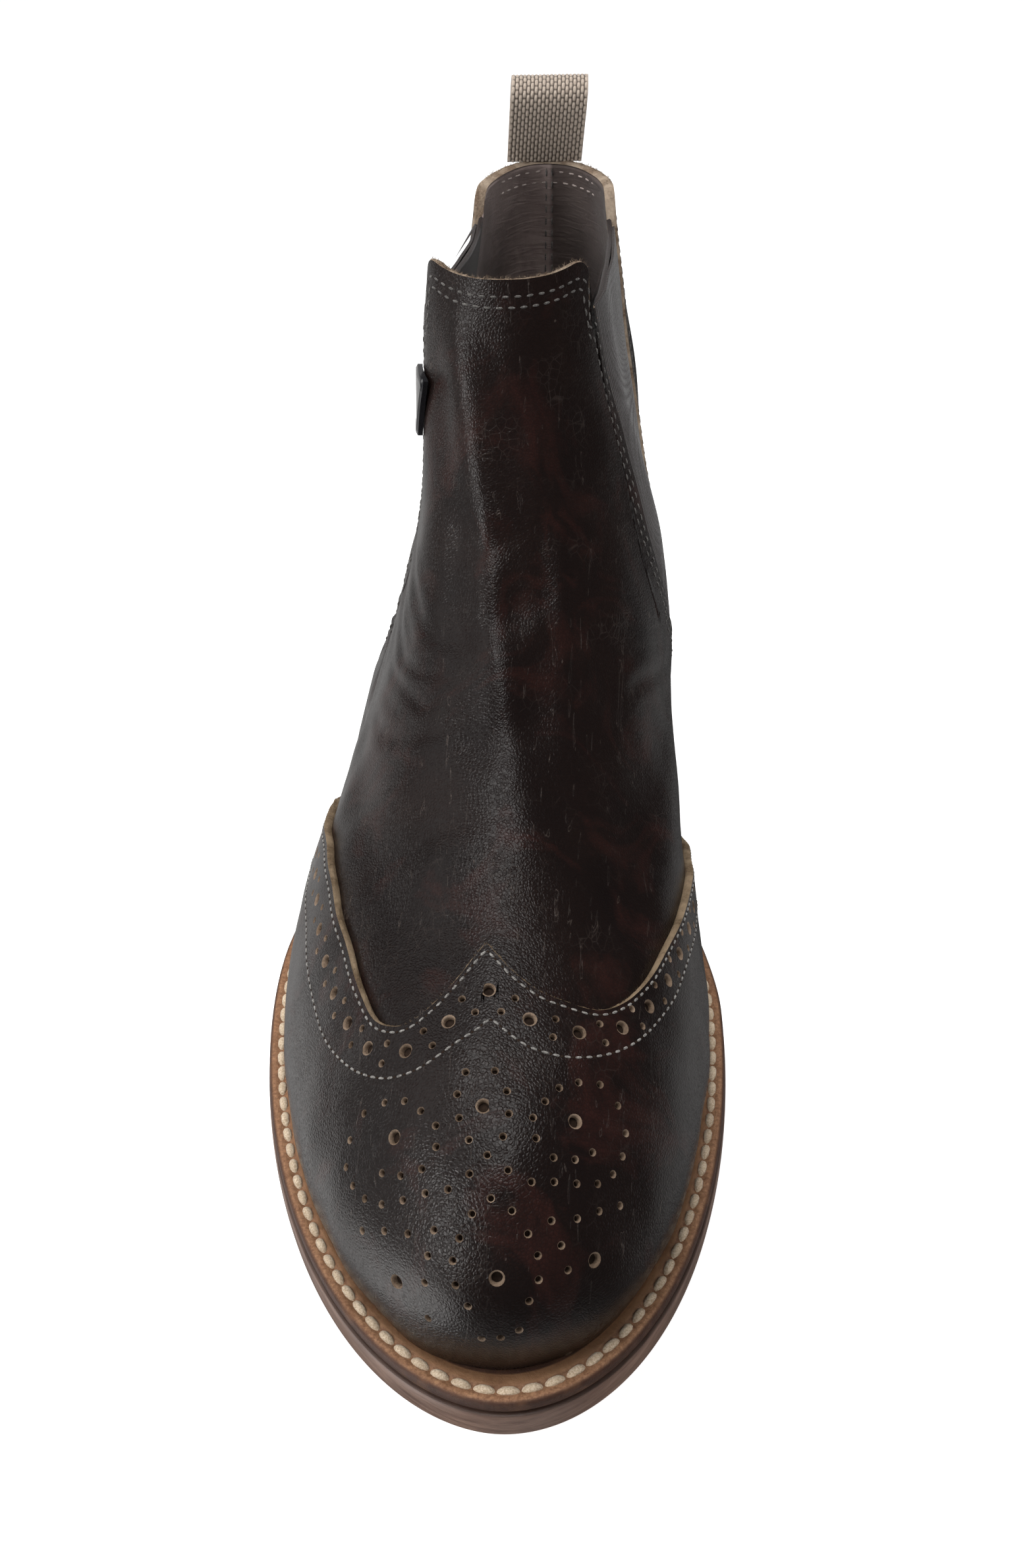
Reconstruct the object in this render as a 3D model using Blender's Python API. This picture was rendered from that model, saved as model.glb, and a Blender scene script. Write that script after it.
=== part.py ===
"""A slip-on brogue boot for the right foot, with elastic side gores and a wing tip.

Metres, +Z up. The toe points to -Y, the inner (medial) side is +X and the outer (lateral) side is -X.
The origin is on the floor, under the middle of the sole's box.
"""
import math

import bmesh
import bpy
import numpy as np

MM = 0.001

# Driving sizes of the sole
SOLE_LENGTH = 304 * MM
BALL_WIDTH = 115 * MM
HEEL_WIDTH = 73 * MM
OUTSOLE_THICKNESS = 7.7 * MM
WELT_THICKNESS = 3.5 * MM
WELT_REACH_TRIM = 0.5 * MM
GROOVE_FROM_EDGE = 3.0 * MM
GROOVE_WIDTH = 1.6 * MM
GROOVE_DEPTH = 0.6 * MM
TOE_SPRING = 9 * MM
HEEL_PITCH = 23.5 * MM
TOP_PIECE_THICKNESS = 6 * MM
HEEL_BREAST_LENGTH = 86 * MM
HEEL_BREAST_HOLLOW = 2.5 * MM
HEEL_TAPER = 2.0 * MM
HEEL_LIFTS = 3
LIFT_LINE = 0.35 * MM
EDGE_ROUNDING = 0.9 * MM
TOE_SWING = 9.8 * MM

# Driving sizes of the upper
COLLAR_HEIGHT = 165.5 * MM
COLLAR_SCOOP = 2.2 * MM
COLLAR_SCOOP_LENGTH = 14 * MM
UPPER_WALL = 2.8 * MM
FEATHER_TUCK = 0.8 * MM
INSOLE_THICKNESS = 3 * MM
INSOLE_BEVEL = 0.9 * MM

# Wing tip, lying over the vamp
WING_PEAK_HEIGHT = 67.2 * MM
WING_THICKNESS = 1.4 * MM
WING_FIT = 0.55 * MM
WING_FOOT_GAP = 1.2 * MM
WING_END_WIDTH = 4 * MM

# Elastic gores, one on each side
GORE_TOP_HEIGHT = 153.5 * MM
GORE_BOTTOM_HEIGHT = 61.5 * MM
GORE_RECESS = 1.6 * MM
GORE_THICKNESS = 0.9 * MM
BACK_PANEL_HEIGHT = 161.5 * MM
COLLAR_CORNER = 7 * MM

# Pull loop of folded webbing, standing on the back of the collar
LOOP_WIDTH = 21 * MM
LOOP_HEIGHT = 22.5 * MM
LOOP_WEBBING = 1.3 * MM
LOOP_GAP = 8.0 * MM
LOOP_TURN = math.radians(5)
LOOP_LEAN = math.radians(4)
LOOP_SHIFT = 1.5 * MM
LOOP_STEPS = 16

# Plain plate on the outer side of the shaft
PLATE_LENGTH = 15 * MM
PLATE_WIDTH = 11 * MM
PLATE_THICKNESS = 1.7 * MM
PLATE_HEIGHT = 132 * MM
PLATE_SETBACK = 49 * MM

# Clearance between neighbouring curved pieces
FIT = 0.35 * MM

# How many facets run round each closed loop of the boot, and up the upper
AROUND = 64
UPPER_ROWS = 22
LINING_ROWS = 10
WING_ROWS = 13
HEEL_PLACES = 41

HALF_LENGTH = SOLE_LENGTH / 2
HALF_BALL = BALL_WIDTH / 2
HALF_HEEL = HEEL_WIDTH / 2
WELT_TOP = OUTSOLE_THICKNESS + WELT_THICKNESS + FIT

# Stations along the boot, as shares of half its length from the middle
BALL_STATION = -0.257
WAIST_STATION = 0.27
SEAT_STATION = 0.697
SPRING_STATION = -0.39
RISE_START = -0.125
RISE_END = 0.63
SWING_STATION = -0.158
SWING_POWER = 1.25
HEEL_POWER = 2.1

# The step round a loop over which a direction is measured, as a share of the whole turn
NUDGE = 1e-3

# How often an interval of levels is halved in a search
HALVINGS = 40

# The outline of each level of the upper and of the sole's edge.
# height is a share of the way from the welt's top to the collar, follow says how far the level keeps the
# sole's curve, front, back and nose are shares of half the sole's length, power rounds the nose, the six
# half widths are shares of half the ball's width (fore, mid) or of half the heel's width (heel), on the
# outer and the inner side, round is the share of half the length over which the heel rounds off, and front_x
# and back_x shift the middle, as shares of half the heel's width.
COLUMNS = (
    "height", "follow", "front", "back", "nose", "power", "fore_out", "fore_in",
    "mid_out", "mid_in", "heel_out", "heel_in", "round", "front_x", "back_x",
)
SOLE_EDGE = (
    0.000, 1.00, -1.000, 1.000, 0.743, 1.93, 1.000, 0.991, 0.850, 0.640, 1.000, 1.000, 0.29, 0.000, 0.041,
)
LEVELS = (
    (0.000, 1.00, -0.933, 0.977, 0.684, 2.00, 0.850, 0.845, 0.765, 0.565, 0.890, 0.890, 0.29, 0.000, 0.041),
    (0.053, 0.90, -0.942, 0.988, 0.684, 2.05, 0.862, 0.855, 0.785, 0.600, 0.945, 0.945, 0.29, 0.000, 0.041),
    (0.112, 0.75, -0.941, 0.992, 0.684, 2.05, 0.845, 0.855, 0.785, 0.645, 0.973, 0.973, 0.29, 0.000, 0.041),
    (0.178, 0.55, -0.916, 0.990, 0.711, 2.00, 0.795, 0.828, 0.750, 0.680, 0.973, 0.973, 0.29, 0.000, 0.041),
    (0.243, 0.35, -0.855, 0.984, 0.750, 1.92, 0.740, 0.803, 0.705, 0.700, 0.945, 0.945, 0.29, 0.000, 0.041),
    (0.303, 0.20, -0.744, 0.970, 0.812, 1.84, 0.706, 0.795, 0.655, 0.712, 0.904, 0.915, 0.29, 0.000, 0.055),
    (0.355, 0.10, -0.560, 0.961, 0.860, 1.82, 0.700, 0.772, 0.625, 0.713, 0.863, 0.890, 0.29, 0.000, 0.055),
    (0.414, 0.00, -0.388, 0.951, 0.737, 1.82, 0.675, 0.720, 0.590, 0.706, 0.822, 0.860, 0.29, 0.000, 0.065),
    (0.493, 0.00, -0.204, 0.941, 0.605, 1.84, 0.635, 0.686, 0.538, 0.682, 0.778, 0.830, 0.28, -0.014, 0.068),
    (0.586, 0.00, -0.046, 0.938, 0.460, 1.88, 0.580, 0.640, 0.472, 0.622, 0.720, 0.785, 0.27, -0.041, 0.075),
    (0.691, 0.00, 0.086, 0.938, 0.342, 1.94, 0.527, 0.580, 0.425, 0.542, 0.648, 0.725, 0.26, -0.068, 0.080),
    (0.796, 0.00, 0.174, 0.941, 0.276, 2.00, 0.477, 0.522, 0.410, 0.470, 0.590, 0.644, 0.25, -0.082, 0.082),
    (0.901, 0.00, 0.243, 0.944, 0.224, 2.05, 0.445, 0.452, 0.405, 0.426, 0.548, 0.570, 0.23, -0.082, 0.085),
    (1.000, 0.00, 0.296, 0.947, 0.184, 2.10, 0.417, 0.435, 0.391, 0.400, 0.515, 0.520, 0.21, -0.082, 0.085),
)
TOP_LEVEL = len(LEVELS) - 1

# The wing tip's upper edge: round is a share of the way round the boot from the toe, minus on the outer side,
# and height a share of the peak's height.
WING_EDGE = (
    (-0.290, 0.25), (-0.270, 0.38), (-0.245, 0.590), (-0.217, 0.745), (-0.193, 0.820), (-0.175, 0.841),
    (-0.153, 0.844), (-0.129, 0.843), (-0.110, 0.851), (-0.092, 0.866), (-0.067, 0.906), (-0.047, 0.941),
    (-0.025, 0.977), (0.000, 1.000), (0.024, 0.983), (0.053, 0.947), (0.078, 0.914), (0.099, 0.883),
    (0.121, 0.857), (0.151, 0.821), (0.183, 0.772), (0.217, 0.672), (0.245, 0.520), (0.270, 0.36), (0.290, 0.25),
)

# A gore seen from the side: up is a share of its height, front and rear are shares of half the sole's length.
# The last row lies above the collar's edge, where only the recess reaches.
GORE_OUTLINE = (
    (0.00, 0.312, 0.358), (0.05, 0.285, 0.392), (0.14, 0.268, 0.430), (0.30, 0.268, 0.487),
    (0.45, 0.289, 0.543), (0.60, 0.328, 0.600), (0.80, 0.370, 0.677), (1.00, 0.385, 0.753), (1.10, 0.390, 0.789),
)


def ease(share):
    """A soft step from 0 to 1."""
    share = np.clip(share, 0, 1)
    return share * share * (3 - 2 * share)


def curve_through(places, values, at):
    """A smooth curve through the rows of a table, read at one place or many."""
    places = np.asarray(places, float)
    values = np.asarray(values, float)
    slopes = np.gradient(values, places)
    row = np.clip(np.searchsorted(places, at, side="right") - 1, 0, len(places) - 2)
    step = places[row + 1] - places[row]
    share = np.clip((at - places[row]) / step, 0, 1)
    square, cube = share**2, share**3
    return (
        (2 * cube - 3 * square + 1) * values[row]
        + (cube - 2 * square + share) * step * slopes[row]
        + (3 * square - 2 * cube) * values[row + 1]
        + (cube - square) * step * slopes[row + 1]
    )


def sole_lift(y):
    """How far the sole's curve stands above the floor: toe spring in front, heel pitch behind."""
    share = np.asarray(y) / HALF_LENGTH
    spring = np.clip((SPRING_STATION - share) / (SPRING_STATION + 1), 0, None) ** 2
    return TOE_SPRING * spring + HEEL_PITCH * ease((share - RISE_START) / (RISE_END - RISE_START))


def level_row(level):
    """The named columns of the level table, read between its rows."""
    rows = np.arange(len(LEVELS))
    return {name: curve_through(rows, [row[i] for row in LEVELS], level) for i, name in enumerate(COLUMNS)}


def row_height(row, y):
    """How high one level's loop stands above the floor at y."""
    return WELT_TOP + row["height"] * (COLLAR_HEIGHT - WELT_TOP) + row["follow"] * sole_lift(y)


def loop_point(row, turn):
    """The point of one level's loop: turn 0 is the toe, 0.5 the heel, and the inner side comes first."""
    angle = 2 * math.pi * np.asarray(turn)
    front, back, nose = (row[name] * HALF_LENGTH for name in ("front", "back", "nose"))
    y = front + (back - front) * (1 - np.cos(angle)) / 2
    nose_share = np.clip(1 - (y - front) / nose, 0, 1)
    heel_share = np.clip(1 - (back - y) / (row["round"] * HALF_LENGTH), 0, 1)
    inner = np.sin(angle) >= 0
    fore = np.where(inner, row["fore_in"], row["fore_out"]) * HALF_BALL
    mid = np.where(inner, row["mid_in"], row["mid_out"]) * HALF_BALL
    heel = np.where(inner, row["heel_in"], row["heel_out"]) * HALF_HEEL
    ball_y, waist_y, seat_y = (s * HALF_LENGTH for s in (BALL_STATION, WAIST_STATION, SEAT_STATION))
    to_waist = ease((y - ball_y) / (waist_y - ball_y))
    to_seat = ease((y - waist_y) / (seat_y - waist_y))
    half = fore + (mid - fore) * to_waist + (heel - mid) * to_seat
    half = half * (1 - nose_share ** row["power"]) ** (1 / row["power"])
    half = half * (1 - heel_share**HEEL_POWER) ** (1 / HEEL_POWER)
    swing_y = SWING_STATION * HALF_LENGTH
    swing = TOE_SWING * np.clip((swing_y - y) / (swing_y + HALF_LENGTH), 0, None) ** SWING_POWER
    start = np.maximum(front, ball_y)
    shift = row["front_x"] + (row["back_x"] - row["front_x"]) * ease((y - start) / (seat_y - start))
    x = swing + shift * HALF_HEEL + np.where(inner, 1, -1) * half
    return np.stack(np.broadcast_arrays(x, y, row_height(row, y)), axis=-1)


def surface(turn, level):
    """The outside of the upper."""
    return loop_point(level_row(level), turn)


def normal(turn, level):
    """The outward direction of the upper's outside."""
    round_it = surface(turn + NUDGE, level) - surface(turn - NUDGE, level)
    low, high = np.clip(level - NUDGE * 20, 0, TOP_LEVEL), np.clip(level + NUDGE * 20, 0, TOP_LEVEL)
    up_it = surface(turn, high) - surface(turn, low)
    across = np.cross(round_it, up_it)
    return across / np.linalg.norm(across, axis=-1, keepdims=True)


def offset_surface(turn, level, distance):
    """The upper's outside moved along its own direction, outwards where distance is positive."""
    return surface(turn, level) + normal(turn, level) * distance


def level_where(height_at, height):
    """The level at which height_at reaches a height above the floor, by halving."""
    low = np.zeros(np.shape(height))
    high = np.full(low.shape, float(TOP_LEVEL))
    for _ in range(HALVINGS):
        middle = (low + high) / 2
        under = height_at(middle) < height
        low, high = np.where(under, middle, low), np.where(under, high, middle)
    return (low + high) / 2


def level_at_height(turn, height):
    """The level at which one place round the upper reaches a height above the floor."""
    return level_where(lambda level: surface(turn, level)[..., 2], height)


def turn_at(inner, y, level):
    """The share of the way round at which a side of the level's loop reaches y."""
    row = level_row(level)
    front, back = row["front"] * HALF_LENGTH, row["back"] * HALF_LENGTH
    angle = np.arccos(np.clip(1 - 2 * (y - front) / (back - front), -1, 1)) / (2 * math.pi)
    return angle if inner else 1 - angle


def side_place(inner, y, z):
    """Where a point seen from the side, at y and height z, lies on the upper: its turn and its level."""
    y, z = np.broadcast_arrays(y, z)
    level = level_where(lambda level: row_height(level_row(level), y), z)
    return turn_at(inner, y, level), level


def gore_sides(up):
    """The front and rear edge of a gore at a share of its height."""
    ups, fronts, rears = zip(*GORE_OUTLINE)
    return curve_through(ups, fronts, up) * HALF_LENGTH, curve_through(ups, rears, up) * HALF_LENGTH


def collar_level(turn):
    """The level of the collar's edge: high on the front and back panels, low over the gores."""
    y = surface(turn, np.full(np.shape(turn), float(TOP_LEVEL)))[..., 1]
    front_corner, back_corner = gore_sides(1.0)
    drop = ease((y - front_corner + COLLAR_CORNER / 2) / COLLAR_CORNER)
    rise = ease((y - back_corner + COLLAR_CORNER / 2) / COLLAR_CORNER)
    front_height = COLLAR_HEIGHT - COLLAR_SCOOP * (1 - ease((y - y.min()) / COLLAR_SCOOP_LENGTH))
    height = front_height + (GORE_TOP_HEIGHT - front_height) * drop
    height = height + (BACK_PANEL_HEIGHT - GORE_TOP_HEIGHT) * rise
    return level_at_height(turn, height)


def material(name, color, roughness, metallic=0.0):
    """A plain Principled material."""
    made = bpy.data.materials.new(name)
    made.use_nodes = True
    shader = made.node_tree.nodes["Principled BSDF"]
    shader.inputs["Base Color"].default_value = (*color, 1)
    shader.inputs["Roughness"].default_value = roughness
    shader.inputs["Metallic"].default_value = metallic
    return made


def add_object(name, points, faces, look):
    """A closed mesh object from points and faces, with its faces turned outwards."""
    mesh = bpy.data.meshes.new(name)
    mesh.from_pydata([tuple(map(float, p)) for p in points], [], faces)
    work = bmesh.new()
    work.from_mesh(mesh)
    bmesh.ops.remove_doubles(work, verts=work.verts, dist=1e-6)
    bmesh.ops.recalc_face_normals(work, faces=work.faces)
    work.to_mesh(mesh)
    work.free()
    mesh.shade_smooth()
    mesh.set_sharp_from_angle(angle=math.radians(35))
    made = bpy.data.objects.new(name, mesh)
    made.data.materials.append(look)
    bpy.context.scene.collection.objects.link(made)
    return made


def ring_faces(rings, count):
    """Quads between one closed ring of points and the next, for rings laid one after another."""
    return [
        (r * count + i, r * count + (i + 1) % count, (r + 1) * count + (i + 1) % count, (r + 1) * count + i)
        for r in range(rings - 1)
        for i in range(count)
    ]


def stacked_solid(name, rings, look):
    """A solid through a stack of rings. The strips of its two flat ends run from side to side."""
    count = len(rings[0])
    points = np.concatenate(rings)
    faces = ring_faces(len(rings), count)
    for first in (0, (len(rings) - 1) * count):
        for i in range(count // 2):
            corners = [first + i, first + i + 1, first + (count - i - 1) % count, first + (count - i) % count]
            faces.append(tuple(dict.fromkeys(corners)))
    return add_object(name, points, faces, look)


def hoop_solid(name, rings, look):
    """A solid hoop: the last ring joins the first again."""
    count = len(rings[0])
    points = np.concatenate([*rings, rings[0]])
    return add_object(name, points, ring_faces(len(rings) + 1, count), look)


def patch_solid(name, turn, level, inside, outside, look):
    """A curved plate over a grid of places on the upper, between two distances from its outside."""
    rows, columns = turn.shape
    lower = offset_surface(turn, level, inside).reshape(-1, 3)
    upper = offset_surface(turn, level, outside).reshape(-1, 3)
    size = rows * columns
    faces = []
    for r in range(rows - 1):
        for c in range(columns - 1):
            corner = r * columns + c
            quad = (corner, corner + 1, corner + columns + 1, corner + columns)
            faces.append(quad)
            faces.append(tuple(size + i for i in reversed(quad)))
    border = [c for c in range(columns)]
    border += [r * columns + columns - 1 for r in range(1, rows)]
    border += [(rows - 1) * columns + c for c in range(columns - 2, -1, -1)]
    border += [r * columns for r in range(rows - 2, 0, -1)]
    for start, end in zip(border, border[1:] + border[:1]):
        faces.append((start, end, size + end, size + start))
    return add_object(name, np.concatenate([lower, upper]), faces, look)


def turns():
    """Evenly turned places round a loop."""
    return np.arange(AROUND) / AROUND


def inset_loop(row, turn, inset):
    """Places on a level's loop seen from above, moved inwards by inset."""
    along = (loop_point(row, turn + NUDGE) - loop_point(row, turn - NUDGE))[:, :2]
    along /= np.linalg.norm(along, axis=1, keepdims=True)
    inward = np.stack([-along[:, 1], along[:, 0]], axis=1)
    return loop_point(row, turn)[:, :2] + inward * inset


def edge_ring(row, inset, height):
    """A level's loop moved inwards by inset, at a height over the sole's curve."""
    flat = inset_loop(row, turns(), inset)
    return np.column_stack([flat, height + sole_lift(flat[:, 1])])


def named_row(values):
    """One row of numbers with the table's column names."""
    return dict(zip(COLUMNS, values))


def make_outsole(look):
    edge = named_row(SOLE_EDGE)
    rings = [
        edge_ring(edge, EDGE_ROUNDING, 0),
        edge_ring(edge, EDGE_ROUNDING * 0.3, EDGE_ROUNDING * 0.3),
        edge_ring(edge, 0, EDGE_ROUNDING),
        edge_ring(edge, 0, OUTSOLE_THICKNESS - EDGE_ROUNDING / 2),
        edge_ring(edge, EDGE_ROUNDING / 2, OUTSOLE_THICKNESS),
    ]
    return stacked_solid("outsole", rings, look)


def make_welt(look):
    """A hoop round the boot: flat below, with a stitch groove between the outer band and the inner lip."""
    edge = named_row(SOLE_EDGE)
    upper_foot = named_row(LEVELS[0])
    bottom = OUTSOLE_THICKNESS + FIT
    top = WELT_TOP
    groove = WELT_REACH_TRIM + GROOVE_FROM_EDGE
    rings = [
        edge_ring(edge, WELT_REACH_TRIM + EDGE_ROUNDING / 2, bottom),
        edge_ring(edge, WELT_REACH_TRIM, bottom + WELT_THICKNESS * 0.35),
        edge_ring(edge, WELT_REACH_TRIM, top - WELT_THICKNESS * 0.35),
        edge_ring(edge, WELT_REACH_TRIM + EDGE_ROUNDING, top),
        edge_ring(edge, groove - GROOVE_WIDTH / 2, top),
        edge_ring(edge, groove, top - GROOVE_DEPTH),
        edge_ring(edge, groove + GROOVE_WIDTH / 2, top),
        edge_ring(upper_foot, -FIT, top),
        edge_ring(upper_foot, -FIT, bottom),
    ]
    return hoop_solid("welt", rings, look)


def heel_outline(inset, height, breast_y):
    """The heel's outline behind the breast line, as a closed ring, and the same y on both sides."""
    edge = named_row(SOLE_EDGE)
    share = (breast_y - edge["front"] * HALF_LENGTH) / ((edge["back"] - edge["front"]) * HALF_LENGTH)
    start = math.acos(1 - 2 * share) / (2 * math.pi)
    flat = inset_loop(edge, np.linspace(start, 1 - start, HEEL_PLACES), inset)
    middle = np.array([[flat[[0, -1], 0].mean(), breast_y + HEEL_BREAST_HOLLOW]])
    flat = np.concatenate([flat, middle])
    z = height(flat[:, 1]) if callable(height) else np.full(len(flat), height)
    return np.column_stack([flat, z])


def heel_solid(name, layers, look):
    """A solid through heel outlines, with fan ends round the middle of the breast."""
    count = len(layers[0])
    points = np.concatenate(layers)
    faces = ring_faces(len(layers), count)
    hub = count - 1
    for first in (0, (len(layers) - 1) * count):
        half = (count - 1) // 2
        faces.append((first + hub, first, first + count - 2))
        for i in range(half):
            corners = [first + i, first + i + 1, first + count - 3 - i, first + count - 2 - i]
            faces.append(tuple(dict.fromkeys(corners)))
    return add_object(name, points, faces, look)


def make_heel(stack_look, rubber_look):
    """The stacked heel block with its lift lines, and the top piece under it."""
    breast_y = HALF_LENGTH - HEEL_BREAST_LENGTH
    block_bottom = TOP_PIECE_THICKNESS + FIT

    def between(share):
        return lambda y: block_bottom + share * (sole_lift(y) - FIT - block_bottom)

    layers = [heel_outline(HEEL_TAPER + LIFT_LINE, between(0), breast_y)]
    for lift in range(HEEL_LIFTS):
        for place, dent in ((0.08, 0), (0.92, 0), (1.0, LIFT_LINE)):
            share = (lift + place) / HEEL_LIFTS
            layers.append(heel_outline(HEEL_TAPER * (1 - share) + dent, between(share), breast_y))
    block = heel_solid("heel_block", layers, stack_look)
    rubber = [
        heel_outline(HEEL_TAPER + EDGE_ROUNDING / 2, 0, breast_y),
        heel_outline(HEEL_TAPER, EDGE_ROUNDING / 2, breast_y),
        heel_outline(HEEL_TAPER, TOP_PIECE_THICKNESS, breast_y),
    ]
    return block, heel_solid("heel_top_piece", rubber, rubber_look)


def make_insole(look):
    """The footbed, inside the upper's foot."""
    foot = named_row(LEVELS[0])
    inset = UPPER_WALL + FEATHER_TUCK + FIT * 2
    bottom = OUTSOLE_THICKNESS + FIT
    rings = [
        edge_ring(foot, inset, bottom),
        edge_ring(foot, inset, bottom + INSOLE_THICKNESS - INSOLE_BEVEL),
        edge_ring(foot, inset + INSOLE_BEVEL, bottom + INSOLE_THICKNESS),
    ]
    return stacked_solid("insole", rings, look)


def make_upper(look):
    """The hollow upper, open at the collar and underneath."""
    turn = turns()
    top = collar_level(turn)
    outer = [surface(turn, top * share) for share in np.linspace(0, 1, UPPER_ROWS + 1)]
    lining = [offset_surface(turn, top * share, -UPPER_WALL) for share in np.linspace(1, 0, LINING_ROWS + 1)]
    foot = named_row(LEVELS[0])
    bottom = OUTSOLE_THICKNESS + FIT
    skirt_out = edge_ring(foot, FEATHER_TUCK, bottom)
    skirt_in = edge_ring(foot, FEATHER_TUCK + UPPER_WALL, bottom)
    return hoop_solid("upper", [skirt_out, *outer, *lining, skirt_in], look)


def gore_grid(inner, grow, rise, rows=13, columns=9):
    """Places over a gore: a tall U, wide at the collar and round below, grown all round by grow."""
    row_share = np.linspace(0, 1, rows)[:, None] + np.zeros((rows, columns))
    across = np.linspace(-1, 1, columns)[None, :] + np.zeros((rows, columns))
    bottom, top = GORE_BOTTOM_HEIGHT - grow, GORE_TOP_HEIGHT + rise
    z = bottom + row_share**1.3 * (top - bottom)
    up = (z - GORE_BOTTOM_HEIGHT) / (GORE_TOP_HEIGHT - GORE_BOTTOM_HEIGHT)
    front, rear = gore_sides(up)
    return side_place(inner, (front + rear) / 2 + across * ((rear - front) / 2 + grow), z)


def make_gore(name, inner, look):
    """One elastic gore, lying in the recess of the upper's side."""
    turn, level = gore_grid(inner, 0, -FIT)
    inside = -GORE_RECESS + FIT
    return patch_solid(name, turn, level, inside, inside + GORE_THICKNESS, look)


def cut_gore_recess(upper, inner, look):
    """Lowers the upper's side under a gore, from outside."""
    turn, level = gore_grid(inner, FIT, 9 * MM)
    name = "recess_cutter_inner" if inner else "recess_cutter_outer"
    cutter = patch_solid(name, turn, level, -GORE_RECESS, 4 * MM, look)
    cutter.hide_render = True
    cutter.display_type = "WIRE"
    cut = upper.modifiers.new(name, "BOOLEAN")
    cut.operation = "DIFFERENCE"
    cut.solver = "EXACT"
    cut.object = cutter


def make_wing_tip(look):
    """The W-shaped wing cap: its lower edge stands on the welt, its upper edge follows the table."""
    ends = WING_EDGE[0][0], WING_EDGE[-1][0]
    turn = turns()
    turn = np.sort(np.where(turn > 0.5, turn - 1, turn))
    turn = turn[(turn >= ends[0]) & (turn <= ends[1])]
    places = [row[0] for row in WING_EDGE]
    shares = [row[1] for row in WING_EDGE]
    edge_height = curve_through(places, shares, turn) * WING_PEAK_HEIGHT
    foot = surface(turn, np.zeros(turn.shape))[..., 2] + WING_FOOT_GAP
    up = np.linspace(0, 1, WING_ROWS)[:, None]
    low_level = level_at_height(turn, foot)
    edge_level = level_at_height(turn, np.maximum(edge_height, foot + WING_END_WIDTH))
    level = low_level + up * (edge_level - low_level)
    grid_turn = turn + np.zeros(level.shape)
    return patch_solid("wing_tip", grid_turn, level, WING_FIT, WING_FIT + WING_THICKNESS, look)


def make_plate(look):
    """A plain plate on the outer side, near the front panel's rear edge."""
    rows, columns = 5, 4
    z = PLATE_HEIGHT + PLATE_LENGTH * (np.linspace(0, 1, rows) - 0.5)
    y = PLATE_SETBACK + PLATE_WIDTH * (np.linspace(0, 1, columns) - 0.5)
    turn, level = side_place(False, y[None, :] + np.zeros((rows, columns)), z[:, None] + np.zeros((rows, columns)))
    return patch_solid("side_plate", turn, level, FIT, FIT + PLATE_THICKNESS, look)


def make_pull_loop(look):
    """Webbing folded into a drop-shaped loop, standing on the rim at the back of the collar."""
    half_gap = LOOP_GAP / 2
    leg = LOOP_HEIGHT - half_gap - LOOP_WEBBING
    outer, inner = [], []
    for i in range(LOOP_STEPS + 1):
        angle = math.pi * i / LOOP_STEPS
        outer.append(((half_gap + LOOP_WEBBING) * math.cos(angle), leg + (half_gap + LOOP_WEBBING) * math.sin(angle)))
        inner.append((half_gap * math.cos(angle), leg + half_gap * math.sin(angle)))
    foot = LOOP_WEBBING
    waist_gap, waist = half_gap / 2, leg / 2
    waist_foot = foot + waist_gap
    outer = [(foot, 0), (waist_foot, waist), *outer, (-waist_foot, waist), (-foot, 0)]
    inner = [(waist_gap, waist), *inner, (-waist_gap, waist), (0, LOOP_WEBBING * 2)]
    rim = turns()
    back = AROUND // 2
    seat = surface(rim, collar_level(rim))[back]
    base = np.array([seat[0] - LOOP_SHIFT, seat[1] - UPPER_WALL / 2, seat[2] + FIT])
    points = []
    for x in (-LOOP_WIDTH / 2, LOOP_WIDTH / 2):
        for depth, height in outer + inner:
            lean_x = x + math.tan(LOOP_LEAN) * height
            points.append(base + np.array([
                lean_x * math.cos(LOOP_TURN) - depth * math.sin(LOOP_TURN),
                lean_x * math.sin(LOOP_TURN) + depth * math.cos(LOOP_TURN),
                height,
            ]))
    n_out, n_in = len(outer), len(inner)
    size = n_out + n_in
    faces = []
    for start, count in ((0, n_out), (n_out, n_in)):
        for i in range(count):
            a, b = start + i, start + (i + 1) % count
            faces.append((a, b, size + b, size + a))
    for side in (0, size):
        for i in range(1, n_out - 2):
            faces.append((side + i, side + i + 1, side + n_out + i, side + n_out + i - 1))
        faces.append((side, side + 1, side + n_out, side + size - 1))
        faces.append((side + n_out - 1, side, side + size - 1))
        faces.append((side + n_out - 2, side + n_out - 1, side + size - 1, side + size - 2))
    return add_object("pull_loop", points, faces, look)


def centre_on_origin(pieces):
    """Hangs every piece on one empty, placed so that the sole's box is centred on the origin."""
    ring = edge_ring(named_row(SOLE_EDGE), 0, 0)
    middle = (ring.max(axis=0) + ring.min(axis=0)) / 2
    boot = bpy.data.objects.new("boot", None)
    boot.location = (-middle[0], -middle[1], 0)
    bpy.context.scene.collection.objects.link(boot)
    for piece in pieces:
        piece.parent = boot


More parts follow.
